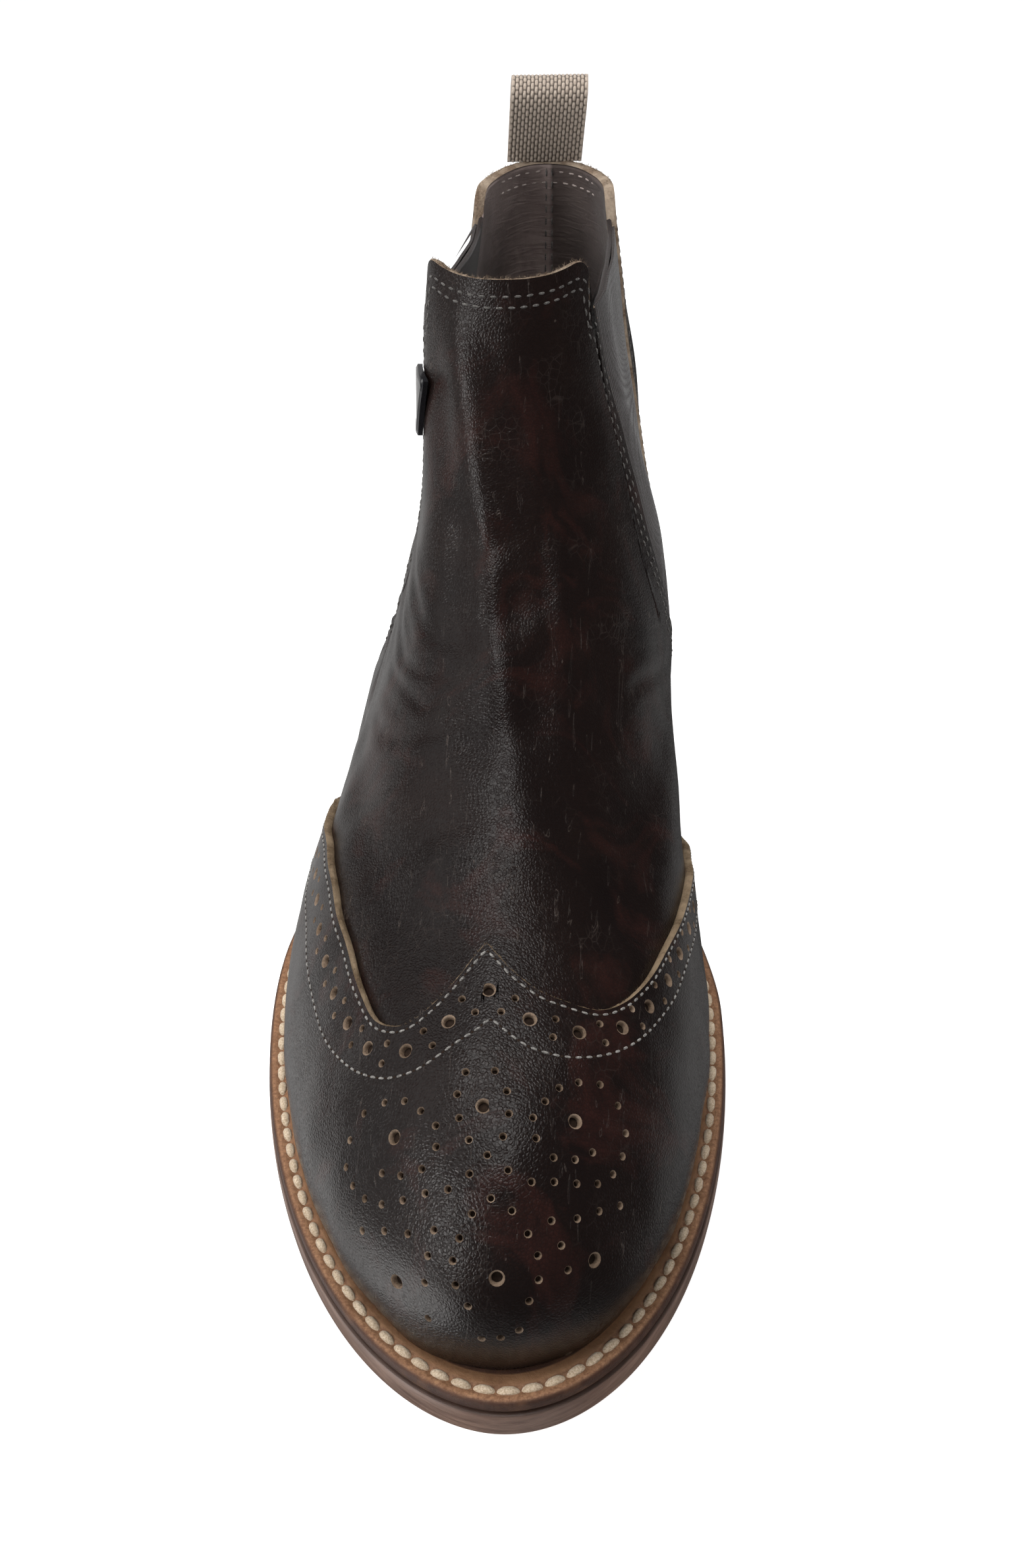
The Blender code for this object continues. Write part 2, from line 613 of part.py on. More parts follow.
def main():
    for old in list(bpy.data.objects):
        bpy.data.objects.remove(old, do_unlink=True)
    leather = material("dark_brown_leather", (0.045, 0.022, 0.016), 0.38)
    wing_leather = material("wing_leather", (0.05, 0.024, 0.017), 0.36)
    sole_leather = material("sole_leather", (0.16, 0.10, 0.07), 0.5)
    welt_leather = material("welt_leather", (0.36, 0.19, 0.09), 0.6)
    rubber = material("heel_rubber", (0.03, 0.025, 0.022), 0.7)
    lining = material("insole_leather", (0.28, 0.22, 0.18), 0.65)
    elastic = material("gore_elastic", (0.02, 0.015, 0.013), 0.85)
    webbing = material("loop_webbing", (0.36, 0.29, 0.22), 0.8)
    plate = material("plate_black", (0.01, 0.01, 0.012), 0.2)
    make_outsole(sole_leather)
    make_welt(welt_leather)
    make_heel(sole_leather, rubber)
    make_insole(lining)
    make_wing_tip(wing_leather)
    make_gore("gore_outer", False, elastic)
    make_gore("gore_inner", True, elastic)
    make_plate(plate)
    make_pull_loop(webbing)
    upper = make_upper(leather)
    cut_gore_recess(upper, False, leather)
    cut_gore_recess(upper, True, leather)
    centre_on_origin(list(bpy.data.objects))


main()
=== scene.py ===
"""The looks of the right brogue boot: fine leather, perforations, stitching, welt, elastic, webbing and lining.

The forms come from the same level tables as the boot's construction, read on finer grids.
"""
import math

import bpy
import numpy as np
from mathutils import Matrix, Vector, geometry


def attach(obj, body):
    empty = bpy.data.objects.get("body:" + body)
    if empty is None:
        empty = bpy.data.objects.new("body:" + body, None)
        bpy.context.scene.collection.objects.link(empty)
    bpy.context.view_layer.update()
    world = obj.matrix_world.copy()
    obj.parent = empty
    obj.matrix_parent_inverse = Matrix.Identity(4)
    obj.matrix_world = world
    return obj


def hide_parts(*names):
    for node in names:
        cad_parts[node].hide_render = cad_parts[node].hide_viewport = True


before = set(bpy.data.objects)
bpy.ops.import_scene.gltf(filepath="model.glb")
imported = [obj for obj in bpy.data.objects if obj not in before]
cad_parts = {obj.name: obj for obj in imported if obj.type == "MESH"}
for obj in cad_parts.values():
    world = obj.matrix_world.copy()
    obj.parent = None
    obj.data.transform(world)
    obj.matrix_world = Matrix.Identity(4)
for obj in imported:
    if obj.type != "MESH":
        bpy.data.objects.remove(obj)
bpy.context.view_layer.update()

MM = 0.001
RANDOM = np.random.default_rng(7)

# Sizes shared with the construction
SOLE_LENGTH = 304 * MM
BALL_WIDTH = 115 * MM
HEEL_WIDTH = 73 * MM
OUTSOLE_THICKNESS = 7.7 * MM
WELT_THICKNESS = 3.5 * MM
WELT_REACH_TRIM = 0.5 * MM
GROOVE_FROM_EDGE = 3.0 * MM
TOE_SPRING = 9 * MM
HEEL_PITCH = 23.5 * MM
TOP_PIECE_THICKNESS = 6 * MM
HEEL_BREAST_LENGTH = 86 * MM
HEEL_BREAST_HOLLOW = 2.5 * MM
HEEL_TAPER = 2.0 * MM
HEEL_LIFTS = 3
EDGE_ROUNDING = 0.9 * MM
TOE_SWING = 9.8 * MM
COLLAR_HEIGHT = 165.5 * MM
COLLAR_SCOOP = 1.2 * MM
COLLAR_SCOOP_LENGTH = 14 * MM
WING_PEAK_HEIGHT = 67.2 * MM
WING_THICKNESS = 1.4 * MM
WING_FIT = 0.55 * MM
WING_FOOT_GAP = 1.2 * MM
WING_END_WIDTH = 4 * MM
GORE_TOP_HEIGHT = 153.5 * MM
GORE_BOTTOM_HEIGHT = 61.5 * MM
BACK_PANEL_HEIGHT = 161.5 * MM
LOOP_WIDTH = 21 * MM
LOOP_HEIGHT = 22.5 * MM
LOOP_WEBBING = 1.3 * MM
LOOP_GAP = 8.0 * MM
LOOP_TURN = math.radians(5)
LOOP_LEAN = math.radians(4)
LOOP_SHIFT = 1.5 * MM
UPPER_WALL = 2.8 * MM
PLATE_LENGTH = 15 * MM
PLATE_WIDTH = 11 * MM
PLATE_THICKNESS = 1.7 * MM
PLATE_HEIGHT = 132 * MM
PLATE_SETBACK = 49 * MM
FIT = 0.35 * MM

HALF_LENGTH = SOLE_LENGTH / 2
HALF_BALL = BALL_WIDTH / 2
HALF_HEEL = HEEL_WIDTH / 2
WELT_TOP = OUTSOLE_THICKNESS + WELT_THICKNESS + FIT
BALL_STATION = -0.257
WAIST_STATION = 0.27
SEAT_STATION = 0.697
SPRING_STATION = -0.39
RISE_START = -0.125
RISE_END = 0.63
SWING_STATION = -0.158
SWING_POWER = 1.25
HEEL_POWER = 2.1
NUDGE = 1e-3
HALVINGS = 26

COLUMNS = (
    "height", "follow", "front", "back", "nose", "power", "fore_out", "fore_in",
    "mid_out", "mid_in", "heel_out", "heel_in", "round", "front_x", "back_x",
)
SOLE_EDGE = (
    0.000, 1.00, -1.000, 1.000, 0.743, 1.93, 1.000, 0.991, 0.850, 0.640, 1.000, 1.000, 0.29, 0.000, 0.041,
)
LEVELS = (
    (0.000, 1.00, -0.933, 0.977, 0.684, 2.00, 0.850, 0.845, 0.765, 0.565, 0.890, 0.890, 0.29, 0.000, 0.041),
    (0.053, 0.90, -0.942, 0.988, 0.684, 2.05, 0.862, 0.855, 0.785, 0.600, 0.945, 0.945, 0.29, 0.000, 0.041),
    (0.112, 0.75, -0.941, 0.992, 0.684, 2.05, 0.845, 0.855, 0.785, 0.645, 0.973, 0.973, 0.29, 0.000, 0.041),
    (0.178, 0.55, -0.916, 0.990, 0.711, 2.00, 0.795, 0.828, 0.750, 0.680, 0.973, 0.973, 0.29, 0.000, 0.041),
    (0.243, 0.35, -0.855, 0.984, 0.750, 1.92, 0.740, 0.803, 0.705, 0.700, 0.945, 0.945, 0.29, 0.000, 0.041),
    (0.303, 0.20, -0.744, 0.970, 0.812, 1.84, 0.706, 0.795, 0.655, 0.712, 0.904, 0.915, 0.29, 0.000, 0.055),
    (0.355, 0.10, -0.560, 0.961, 0.860, 1.82, 0.700, 0.772, 0.625, 0.713, 0.863, 0.890, 0.29, 0.000, 0.055),
    (0.414, 0.00, -0.388, 0.951, 0.737, 1.82, 0.675, 0.720, 0.590, 0.706, 0.822, 0.860, 0.29, 0.000, 0.065),
    (0.493, 0.00, -0.204, 0.941, 0.605, 1.84, 0.635, 0.686, 0.538, 0.682, 0.778, 0.830, 0.28, -0.014, 0.068),
    (0.586, 0.00, -0.046, 0.938, 0.460, 1.88, 0.580, 0.640, 0.472, 0.622, 0.720, 0.785, 0.27, -0.041, 0.075),
    (0.691, 0.00, 0.086, 0.938, 0.342, 1.94, 0.527, 0.580, 0.425, 0.542, 0.648, 0.725, 0.26, -0.068, 0.080),
    (0.796, 0.00, 0.174, 0.941, 0.276, 2.00, 0.477, 0.522, 0.410, 0.470, 0.590, 0.644, 0.25, -0.082, 0.082),
    (0.901, 0.00, 0.243, 0.944, 0.224, 2.05, 0.445, 0.452, 0.405, 0.426, 0.548, 0.570, 0.23, -0.082, 0.085),
    (1.000, 0.00, 0.296, 0.947, 0.184, 2.10, 0.417, 0.435, 0.391, 0.400, 0.515, 0.520, 0.21, -0.082, 0.085),
)
TOP_LEVEL = len(LEVELS) - 1

# The wing tip's raw upper edge and the lower line of its band: turn, share of the peak's height
WING_EDGE = (
    (-0.290, 0.25), (-0.270, 0.38), (-0.245, 0.590), (-0.217, 0.745), (-0.193, 0.820), (-0.175, 0.841),
    (-0.153, 0.848), (-0.123, 0.850), (-0.104, 0.853), (-0.084, 0.882), (-0.056, 0.934), (-0.032, 0.977),
    (-0.012, 1.012), (-0.003, 1.022), (0.006, 1.014), (0.021, 0.993), (0.047, 0.958), (0.065, 0.936),
    (0.099, 0.886), (0.121, 0.858), (0.151, 0.824), (0.183, 0.772), (0.217, 0.672), (0.245, 0.520),
    (0.270, 0.36), (0.290, 0.25),
)
BAND_FOOT = (
    (-0.290, 0.19), (-0.270, 0.25), (-0.245, 0.42), (-0.215, 0.600), (-0.184, 0.662), (-0.154, 0.675),
    (-0.134, 0.698), (-0.112, 0.748), (-0.089, 0.806), (-0.066, 0.862), (-0.040, 0.910), (-0.012, 0.940),
    (0.002, 0.949), (0.015, 0.940), (0.027, 0.928), (0.051, 0.904), (0.076, 0.873), (0.099, 0.836),
    (0.123, 0.795), (0.146, 0.755), (0.173, 0.711), (0.205, 0.610), (0.245, 0.39), (0.270, 0.25), (0.290, 0.19),
)
GORE_OUTLINE = (
    (0.00, 0.312, 0.358), (0.05, 0.285, 0.392), (0.14, 0.268, 0.430), (0.30, 0.268, 0.487),
    (0.45, 0.289, 0.543), (0.60, 0.328, 0.600), (0.80, 0.370, 0.677), (1.00, 0.385, 0.753), (1.10, 0.390, 0.789),
)


# The boot's form

def ease(share):
    share = np.clip(share, 0, 1)
    return share * share * (3 - 2 * share)


def curve_through(places, values, at):
    """A smooth curve through the rows of a table."""
    places = np.asarray(places, float)
    values = np.asarray(values, float)
    slopes = np.gradient(values, places)
    row = np.clip(np.searchsorted(places, at, side="right") - 1, 0, len(places) - 2)
    step = places[row + 1] - places[row]
    share = np.clip((at - places[row]) / step, 0, 1)
    square, cube = share**2, share**3
    return (
        (2 * cube - 3 * square + 1) * values[row]
        + (cube - 2 * square + share) * step * slopes[row]
        + (3 * square - 2 * cube) * values[row + 1]
        + (cube - square) * step * slopes[row + 1]
    )


def sole_lift(y):
    share = np.asarray(y) / HALF_LENGTH
    spring = np.clip((SPRING_STATION - share) / (SPRING_STATION + 1), 0, None) ** 2
    return TOE_SPRING * spring + HEEL_PITCH * ease((share - RISE_START) / (RISE_END - RISE_START))


def level_row(level, names=COLUMNS):
    rows = np.arange(len(LEVELS))
    return {name: curve_through(rows, [row[COLUMNS.index(name)] for row in LEVELS], level) for name in names}


def row_y(row, turn):
    front, back = row["front"] * HALF_LENGTH, row["back"] * HALF_LENGTH
    return front + (back - front) * (1 - np.cos(2 * math.pi * turn)) / 2


def row_height(row, y):
    return WELT_TOP + row["height"] * (COLLAR_HEIGHT - WELT_TOP) + row["follow"] * sole_lift(y)


def loop_point(row, turn):
    """A place on one level's loop: turn 0 is the toe, 0.5 the heel, the inner side comes first."""
    turn = np.asarray(turn)
    front, back, nose = (row[name] * HALF_LENGTH for name in ("front", "back", "nose"))
    y = row_y(row, turn)
    nose_share = np.clip(1 - (y - front) / nose, 0, 1)
    heel_share = np.clip(1 - (back - y) / (row["round"] * HALF_LENGTH), 0, 1)
    inner = np.sin(2 * math.pi * turn) >= 0
    fore = np.where(inner, row["fore_in"], row["fore_out"]) * HALF_BALL
    mid = np.where(inner, row["mid_in"], row["mid_out"]) * HALF_BALL
    heel = np.where(inner, row["heel_in"], row["heel_out"]) * HALF_HEEL
    ball_y, waist_y, seat_y = (s * HALF_LENGTH for s in (BALL_STATION, WAIST_STATION, SEAT_STATION))
    half = fore + (mid - fore) * ease((y - ball_y) / (waist_y - ball_y))
    half = half + (heel - mid) * ease((y - waist_y) / (seat_y - waist_y))
    half = half * (1 - nose_share ** row["power"]) ** (1 / row["power"])
    half = half * (1 - heel_share**HEEL_POWER) ** (1 / HEEL_POWER)
    swing_y = SWING_STATION * HALF_LENGTH
    swing = TOE_SWING * np.clip((swing_y - y) / (swing_y + HALF_LENGTH), 0, None) ** SWING_POWER
    start = np.maximum(front, ball_y)
    shift = row["front_x"] + (row["back_x"] - row["front_x"]) * ease((y - start) / (seat_y - start))
    x = swing + shift * HALF_HEEL + np.where(inner, 1, -1) * half
    return np.stack(np.broadcast_arrays(x, y, row_height(row, y)), axis=-1)


def named_row(values):
    return dict(zip(COLUMNS, values))


SOLE_ROW = named_row(SOLE_EDGE)
FOOT_ROW = named_row(LEVELS[0])
EDGE_LOOP = loop_point(SOLE_ROW, np.arange(64) / 64)
MIDDLE = np.array([(EDGE_LOOP[:, 0].max() + EDGE_LOOP[:, 0].min()) / 2, 0, 0])


def surface(turn, level):
    return loop_point(level_row(level), turn) - MIDDLE


def normal(turn, level):
    round_it = surface(turn + NUDGE, level) - surface(turn - NUDGE, level)
    low, high = np.clip(level - NUDGE * 20, 0, TOP_LEVEL), np.clip(level + NUDGE * 20, 0, TOP_LEVEL)
    across = np.cross(round_it, surface(turn, high) - surface(turn, low))
    return across / np.linalg.norm(across, axis=-1, keepdims=True)


def level_where(height_at, height):
    low = np.zeros(np.shape(height))
    high = np.full(low.shape, float(TOP_LEVEL))
    for _ in range(HALVINGS):
        middle = (low + high) / 2
        under = height_at(middle) < height
        low, high = np.where(under, middle, low), np.where(under, high, middle)
    return (low + high) / 2


def level_at_height(turn, height):
    def height_at(level):
        row = level_row(level, ("height", "follow", "front", "back"))
        return row_height(row, row_y(row, turn))

    return level_where(height_at, height)


def side_place(inner, y, z):
    """Turn and level of a point seen from the side."""
    y, z = np.broadcast_arrays(y, z)
    level = level_where(lambda level: row_height(level_row(level, ("height", "follow")), y), z)
    row = level_row(level, ("front", "back"))
    front, back = row["front"] * HALF_LENGTH, row["back"] * HALF_LENGTH
    angle = np.arccos(np.clip(1 - 2 * (y - front) / (back - front), -1, 1)) / (2 * math.pi)
    return (angle if inner else -angle), level


def gore_sides(height):
    up = (height - GORE_BOTTOM_HEIGHT) / (GORE_TOP_HEIGHT - GORE_BOTTOM_HEIGHT)
    ups, fronts, rears = zip(*GORE_OUTLINE)
    return curve_through(ups, fronts, up) * HALF_LENGTH, curve_through(ups, rears, up) * HALF_LENGTH


# Soft relief of the leather: a slow random swell, and creases placed one by one.
# A crease runs through (turn, height in mm) places, with a width and a depth in mm.
CREASES = (
    (((-0.262, 82), (-0.258, 64), (-0.252, 52)), 1.6, 0.40),
    (((-0.276, 78), (-0.270, 62), (-0.268, 48)), 1.4, 0.35),
    (((-0.246, 92), (-0.242, 74), (-0.232, 60)), 1.8, 0.38),
    (((-0.228, 98), (-0.222, 84), (-0.210, 70)), 2.0, 0.30),
    (((-0.293, 72), (-0.292, 58), (-0.296, 46)), 1.5, 0.32),
    (((-0.205, 112), (-0.196, 98), (-0.180, 86)), 2.4, 0.26),
    (((0.268, 80), (0.262, 64), (0.256, 50)), 1.8, 0.34),
    (((0.288, 74), (0.288, 60), (0.290, 46)), 1.5, 0.30),
    (((0.240, 92), (0.232, 76), (0.222, 62)), 2.2, 0.28),
    (((-0.060, 118), (-0.020, 114), (0.030, 117)), 3.6, 0.34),
    (((-0.110, 106), (-0.050, 101), (0.020, 103), (0.080, 108)), 4.2, 0.38),
    (((-0.120, 92), (-0.060, 88), (0.000, 87), (0.070, 91)), 4.4, 0.36),
    (((0.030, 97), (0.090, 98), (0.140, 104)), 3.4, 0.26),
    (((-0.069, 163), (-0.059, 153), (-0.048, 142), (-0.030, 129), (-0.010, 116), (-0.006, 104), (0.011, 94),
      (0.029, 84), (0.034, 74)), 4.2, -1.0),
    (((-0.100, 150), (-0.088, 138), (-0.069, 122), (-0.047, 107), (-0.040, 97), (-0.031, 84)), 5.0, 0.55),
    (((0.084, 112), (0.087, 104), (0.090, 96), (0.094, 84)), 1.6, 0.28),
    (((0.050, 120), (0.057, 107), (0.064, 94)), 2.4, 0.30),
    (((-0.205, 92), (-0.148, 87), (-0.073, 93), (-0.035, 93)), 1.7, 0.34),
    (((-0.185, 103), (-0.108, 97), (-0.050, 98)), 1.7, 0.30),
    (((-0.180, 80), (-0.131, 85), (-0.070, 88)), 1.5, 0.30),
    (((-0.200, 71), (-0.152, 76), (-0.086, 84), (-0.030, 89)), 2.0, 0.34),
    (((-0.110, 68), (-0.061, 76), (-0.010, 80)), 2.6, 0.24),
    (((0.255, 67), (0.190, 78), (0.145, 83)), 1.8, 0.36),
    (((-0.105, 46), (-0.055, 48), (0.000, 49), (0.050, 48)), 5.0, 0.42),
    (((0.380, 120), (0.420, 118), (0.460, 121)), 2.6, 0.30),
    (((-0.380, 116), (-0.420, 113), (-0.450, 116)), 2.6, 0.30),
    (((0.400, 88), (0.440, 86), (0.490, 88)), 3.0, 0.26),
    (((-0.390, 90), (-0.430, 87), (-0.480, 89)), 3.0, 0.26),
)
SWELL_WAVES = 26
SWELL_DEPTH = 0.055 * MM


def make_swell():
    """Directions, lengths and phases of the slow waves in the leather."""
    direction = RANDOM.normal(size=(SWELL_WAVES, 3))
    direction /= np.linalg.norm(direction, axis=1, keepdims=True)
    length = RANDOM.uniform(14, 46, SWELL_WAVES) * MM
    return direction * (2 * math.pi / length)[:, None], RANDOM.uniform(0, 2 * math.pi, SWELL_WAVES)


WAVES, PHASES = make_swell()


def crease_paths():
    paths = []
    for places, width, depth in CREASES:
        turn, height = np.array([p[0] for p in places]), np.array([p[1] for p in places]) * MM
        along = np.linspace(0, len(places) - 1, 9)
        turn, height = (curve_through(np.arange(len(places)), v, along) for v in (turn, height))
        paths.append((surface(turn, level_at_height(turn, height)), width * MM, depth * MM))
    return paths


CREASE_PATHS = crease_paths()


def relief(points):
    """How far the leather stands above or below the plain form."""
    flat = points.reshape(-1, 3)
    lift = SWELL_DEPTH * np.sin(flat @ WAVES.T + PHASES).sum(axis=1)
    for path, width, depth in CREASE_PATHS:
        near = np.full(len(flat), np.inf)
        share = np.zeros(len(flat))
        for i, (a, b) in enumerate(zip(path[:-1], path[1:])):
            along = b - a
            part = np.clip(((flat - a) @ along) / (along @ along), 0, 1)
            gap = np.linalg.norm(flat - a - part[:, None] * along, axis=1)
            closer = gap < near
            near = np.where(closer, gap, near)
            share = np.where(closer, (i + part) / (len(path) - 1), share)
        fade = ease(share * 4) * ease((1 - share) * 4)
        trough = np.exp(-((near / width) ** 2))
        ridge = np.exp(-(((near - 2.1 * width) / width) ** 2))
        lift = lift + depth * fade * (0.45 * ridge - trough)
    return lift.reshape(points.shape[:-1])


def skin(turn, level, offset=0.0):
    """The finished leather's surface at a distance outwards from the plain form."""
    base = surface(turn, level)
    return base + normal(turn, level) * (offset + relief(base))[..., None]


# Meshes

def grid_faces(rows, columns, closed=False, first=0):
    """Quads of a grid of points laid row by row."""
    r, c = np.meshgrid(np.arange(rows - 1), np.arange(columns if closed else columns - 1), indexing="ij")
    r, c = r.ravel(), c.ravel()
    following = (c + 1) % columns
    return first + np.stack([r * columns + c, r * columns + following,
                             (r + 1) * columns + following, (r + 1) * columns + c], axis=1)


def add_mesh(name, points, faces, look, smooth=True, values=None):
    """A mesh object from points and faces, with named values per point for its material."""
    mesh = bpy.data.meshes.new(name)
    points = np.asarray(points, float).reshape(-1, 3)
    mesh.from_pydata(points.tolist(), [], [list(map(int, f)) for f in faces])
    for value_name, numbers in (values or {}).items():
        attribute = mesh.attributes.new(value_name, "FLOAT", "POINT")
        attribute.data.foreach_set("value", np.asarray(numbers, np.float32).ravel())
    if smooth:
        mesh.shade_smooth()
    made = bpy.data.objects.new(name, mesh)
    for one in look if isinstance(look, (list, tuple)) else [look]:
        mesh.materials.append(one)
    bpy.context.scene.collection.objects.link(made)
    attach(made, "root")
    return made


class Pile:
    """Many small meshes gathered into one."""

    def __init__(self):
        self.points, self.faces, self.values, self.count = [], [], [], 0

    def add(self, points, faces, value=0.0):
        points = np.asarray(points, float)
        self.points.append(points)
        self.faces.extend([int(corner) + self.count for corner in face] for face in faces)
        self.values.append(np.full(len(points), float(value)))
        self.count += len(points)

    def build(self, name, look, slot, smooth=True):
        return add_mesh(name, np.concatenate(self.points), self.faces, look, smooth,
                        {"shade": np.concatenate(self.values)})


def unit(vectors):
    return vectors / np.linalg.norm(vectors, axis=-1, keepdims=True)


CAPSULE_SIDES = 8
CAPSULE_RINGS = (-1.0, -0.86, -0.45, 0.0, 0.45, 0.86, 1.0)


def capsule(centre, along, up, length, width, height):
    """One stitch: a plump thread with rounded ends."""
    side = np.cross(along, up)
    angle = np.arange(CAPSULE_SIDES) / CAPSULE_SIDES * 2 * math.pi
    points = []
    for place in CAPSULE_RINGS:
        girth = math.sqrt(max(0.04, 1 - abs(place) ** 3.2))
        dip = -0.55 * height * abs(place) ** 2.5
        points.append(
            centre + along * (place * length / 2) + up * dip
            + np.outer(np.cos(angle) * girth * width / 2, side)
            + np.outer(np.sin(angle) * girth * height / 2, up)
        )
    faces = grid_faces(len(CAPSULE_RINGS), CAPSULE_SIDES, True).tolist()
    points = np.concatenate(points)
    last = len(points) - CAPSULE_SIDES
    faces += [[last, last + i, last + i + 1] for i in range(1, CAPSULE_SIDES - 1)]
    faces += [[0, i + 1, i] for i in range(1, CAPSULE_SIDES - 1)]
    return points, faces


def walk(path, pitch, phase=0.5):
    """Places a pitch apart along a path of points, with the direction there."""
    steps = np.linalg.norm(np.diff(path, axis=0), axis=1)
    far = np.concatenate([[0], np.cumsum(steps)])
    count = max(1, int(round(far[-1] / pitch)))
    at = (np.arange(count) + phase) * far[-1] / count
    inside = np.clip(np.searchsorted(far, at) - 1, 0, len(steps) - 1)
    share = (at - far[inside]) / steps[inside]
    places = path[inside] + (path[inside + 1] - path[inside]) * share[:, None]
    ahead = np.stack([np.interp(at + pitch / 3, far, path[:, k]) for k in range(3)], 1)
    behind = np.stack([np.interp(at - pitch / 3, far, path[:, k]) for k in range(3)], 1)
    return places, unit(ahead - behind), at / far[-1]


def sew(pile, path, normals, pitch, length, width, height, lift=0.0, wobble=0.04, phase=0.5):
    """A row of stitches along a path that lies on a surface with those normals."""
    places, along, share = walk(path, pitch, phase)
    ups = np.stack([np.interp(share, np.linspace(0, 1, len(normals)), normals[:, k]) for k in range(3)], 1)
    for place, run, up in zip(places, along, unit(ups)):
        side = np.cross(run, up)
        run = unit(run + side * RANDOM.normal(0, wobble))
        up = unit(up - run * (up @ run))
        size = RANDOM.uniform(0.94, 1.06)
        points, faces = capsule(place + up * lift, run, up, length * size, width, height)
        pile.add(points, faces, RANDOM.uniform(0, 1))


def tuft(pile, place, out, up, length, width):
    """One loose fibre: a thin bent sliver."""
    lean = unit(out + up * RANDOM.uniform(-0.7, 0.7) + RANDOM.normal(0, 0.55, 3))
    bend = unit(lean + RANDOM.normal(0, 0.5, 3))
    side = unit(np.cross(lean, RANDOM.normal(0, 1, 3))) * width / 2
    middle = place + lean * length * 0.5
    tip = middle + bend * length * 0.5
    points = [place - side, place + side, middle + side * 0.7, middle - side * 0.7, tip]
    pile.add(points, [[0, 1, 2, 3]], RANDOM.uniform(0, 1))
    pile.faces.append([pile.count - 2, pile.count - 3, pile.count - 1])


# Materials

class Look:
    """A Principled material and short calls that wire its nodes."""

    def __init__(self, name, roughness=0.5, **sockets):
        self.material = bpy.data.materials.new(name)
        self.material.use_nodes = True
        self.nodes = self.material.node_tree.nodes
        self.links = self.material.node_tree.links
        self.shader = self.nodes["Principled BSDF"]
        self.shader.inputs["Roughness"].default_value = roughness
        for socket, value in sockets.items():
            self.shader.inputs[socket.replace("_", " ")].default_value = value
        self.place = self.node("ShaderNodeTexCoord").outputs["Object"]
        self.height = None

    def node(self, kind, **settings):
        made = self.nodes.new(kind)
        for key, value in settings.items():
            setattr(made, key, value)
        return made

    def fill(self, socket, value):
        if isinstance(value, bpy.types.NodeSocket):
            self.links.new(value, socket)
        elif isinstance(value, tuple) and len(value) == 3 and len(socket.default_value) == 4:
            socket.default_value = (*value, 1)
        else:
            socket.default_value = value

    def value(self, name):
        return self.node("ShaderNodeAttribute", attribute_name=name).outputs["Fac"]

    def stretched(self, scale):
        made = self.node("ShaderNodeMapping")
        self.links.new(self.place, made.inputs["Vector"])
        made.inputs["Scale"].default_value = scale
        return made.outputs["Vector"]

    def noise(self, size, detail=3.0, rough=0.5, stretch=(1, 1, 1), twist=0.0):
        """Noise whose grains are about size metres across."""
        made = self.node("ShaderNodeTexNoise")
        self.links.new(self.stretched(stretch), made.inputs["Vector"])
        made.inputs["Scale"].default_value = 1 / size
        made.inputs["Detail"].default_value = detail
        made.inputs["Roughness"].default_value = rough
        made.inputs["Distortion"].default_value = twist
        return made.outputs["Fac"]

    def cells(self, size, feature="DISTANCE_TO_EDGE", stretch=(1, 1, 1)):
        made = self.node("ShaderNodeTexVoronoi", feature=feature)
        self.links.new(self.stretched(stretch), made.inputs["Vector"])
        made.inputs["Scale"].default_value = 1 / size
        return made.outputs["Distance"]

    def ramp(self, value, *stops):
        """Maps a value through (place, grey or colour) stops."""
        made = self.node("ShaderNodeValToRGB")
        self.links.new(value, made.inputs["Fac"])
        ramp = made.color_ramp
        while len(ramp.elements) < len(stops):
            ramp.elements.new(0.5)
        for element, (place, color) in zip(ramp.elements, stops):
            element.position = place
            element.color = (*color, 1) if isinstance(color, tuple) else (color, color, color, 1)
        return made.outputs["Color"]

    def mix(self, share, a, b, mode="MIX"):
        made = self.node("ShaderNodeMix", data_type="RGBA", blend_type=mode)
        self.fill(made.inputs[0], share)
        self.fill(made.inputs[6], a)
        self.fill(made.inputs[7], b)
        return made.outputs[2]

    def math(self, how, a, b=0.0):
        made = self.node("ShaderNodeMath", operation=how)
        self.fill(made.inputs[0], a)
        self.fill(made.inputs[1], b)
        return made.outputs[0]

    def color(self, value):
        self.fill(self.shader.inputs["Base Color"], value)

    def rough(self, value, low, high):
        made = self.node("ShaderNodeMapRange")
        self.fill(made.inputs["Value"], value)
        made.inputs["To Min"].default_value = low
        made.inputs["To Max"].default_value = high
        self.links.new(made.outputs["Result"], self.shader.inputs["Roughness"])

    def bump(self, value, depth, strength=1.0):
        """Adds one layer of bump, depth metres high."""
        made = self.node("ShaderNodeBump")
        made.inputs["Distance"].default_value = depth
        made.inputs["Strength"].default_value = strength
        self.links.new(value, made.inputs["Height"])
        if self.height is not None:
            self.links.new(self.height, made.inputs["Normal"])
        self.height = made.outputs["Normal"]
        self.links.new(self.height, self.shader.inputs["Normal"])
        self.links.new(self.height, self.shader.inputs["Coat Normal"])


LEATHER_DARK = (0.0044, 0.0026, 0.0024)
LEATHER_MID = (0.0086, 0.0046, 0.0038)
LEATHER_RED = (0.034, 0.0100, 0.0076)
LEATHER_PALE = (0.052, 0.040, 0.034)
RAW_TAN = (0.195, 0.138, 0.096)
RAW_PALE = (0.36, 0.29, 0.22)


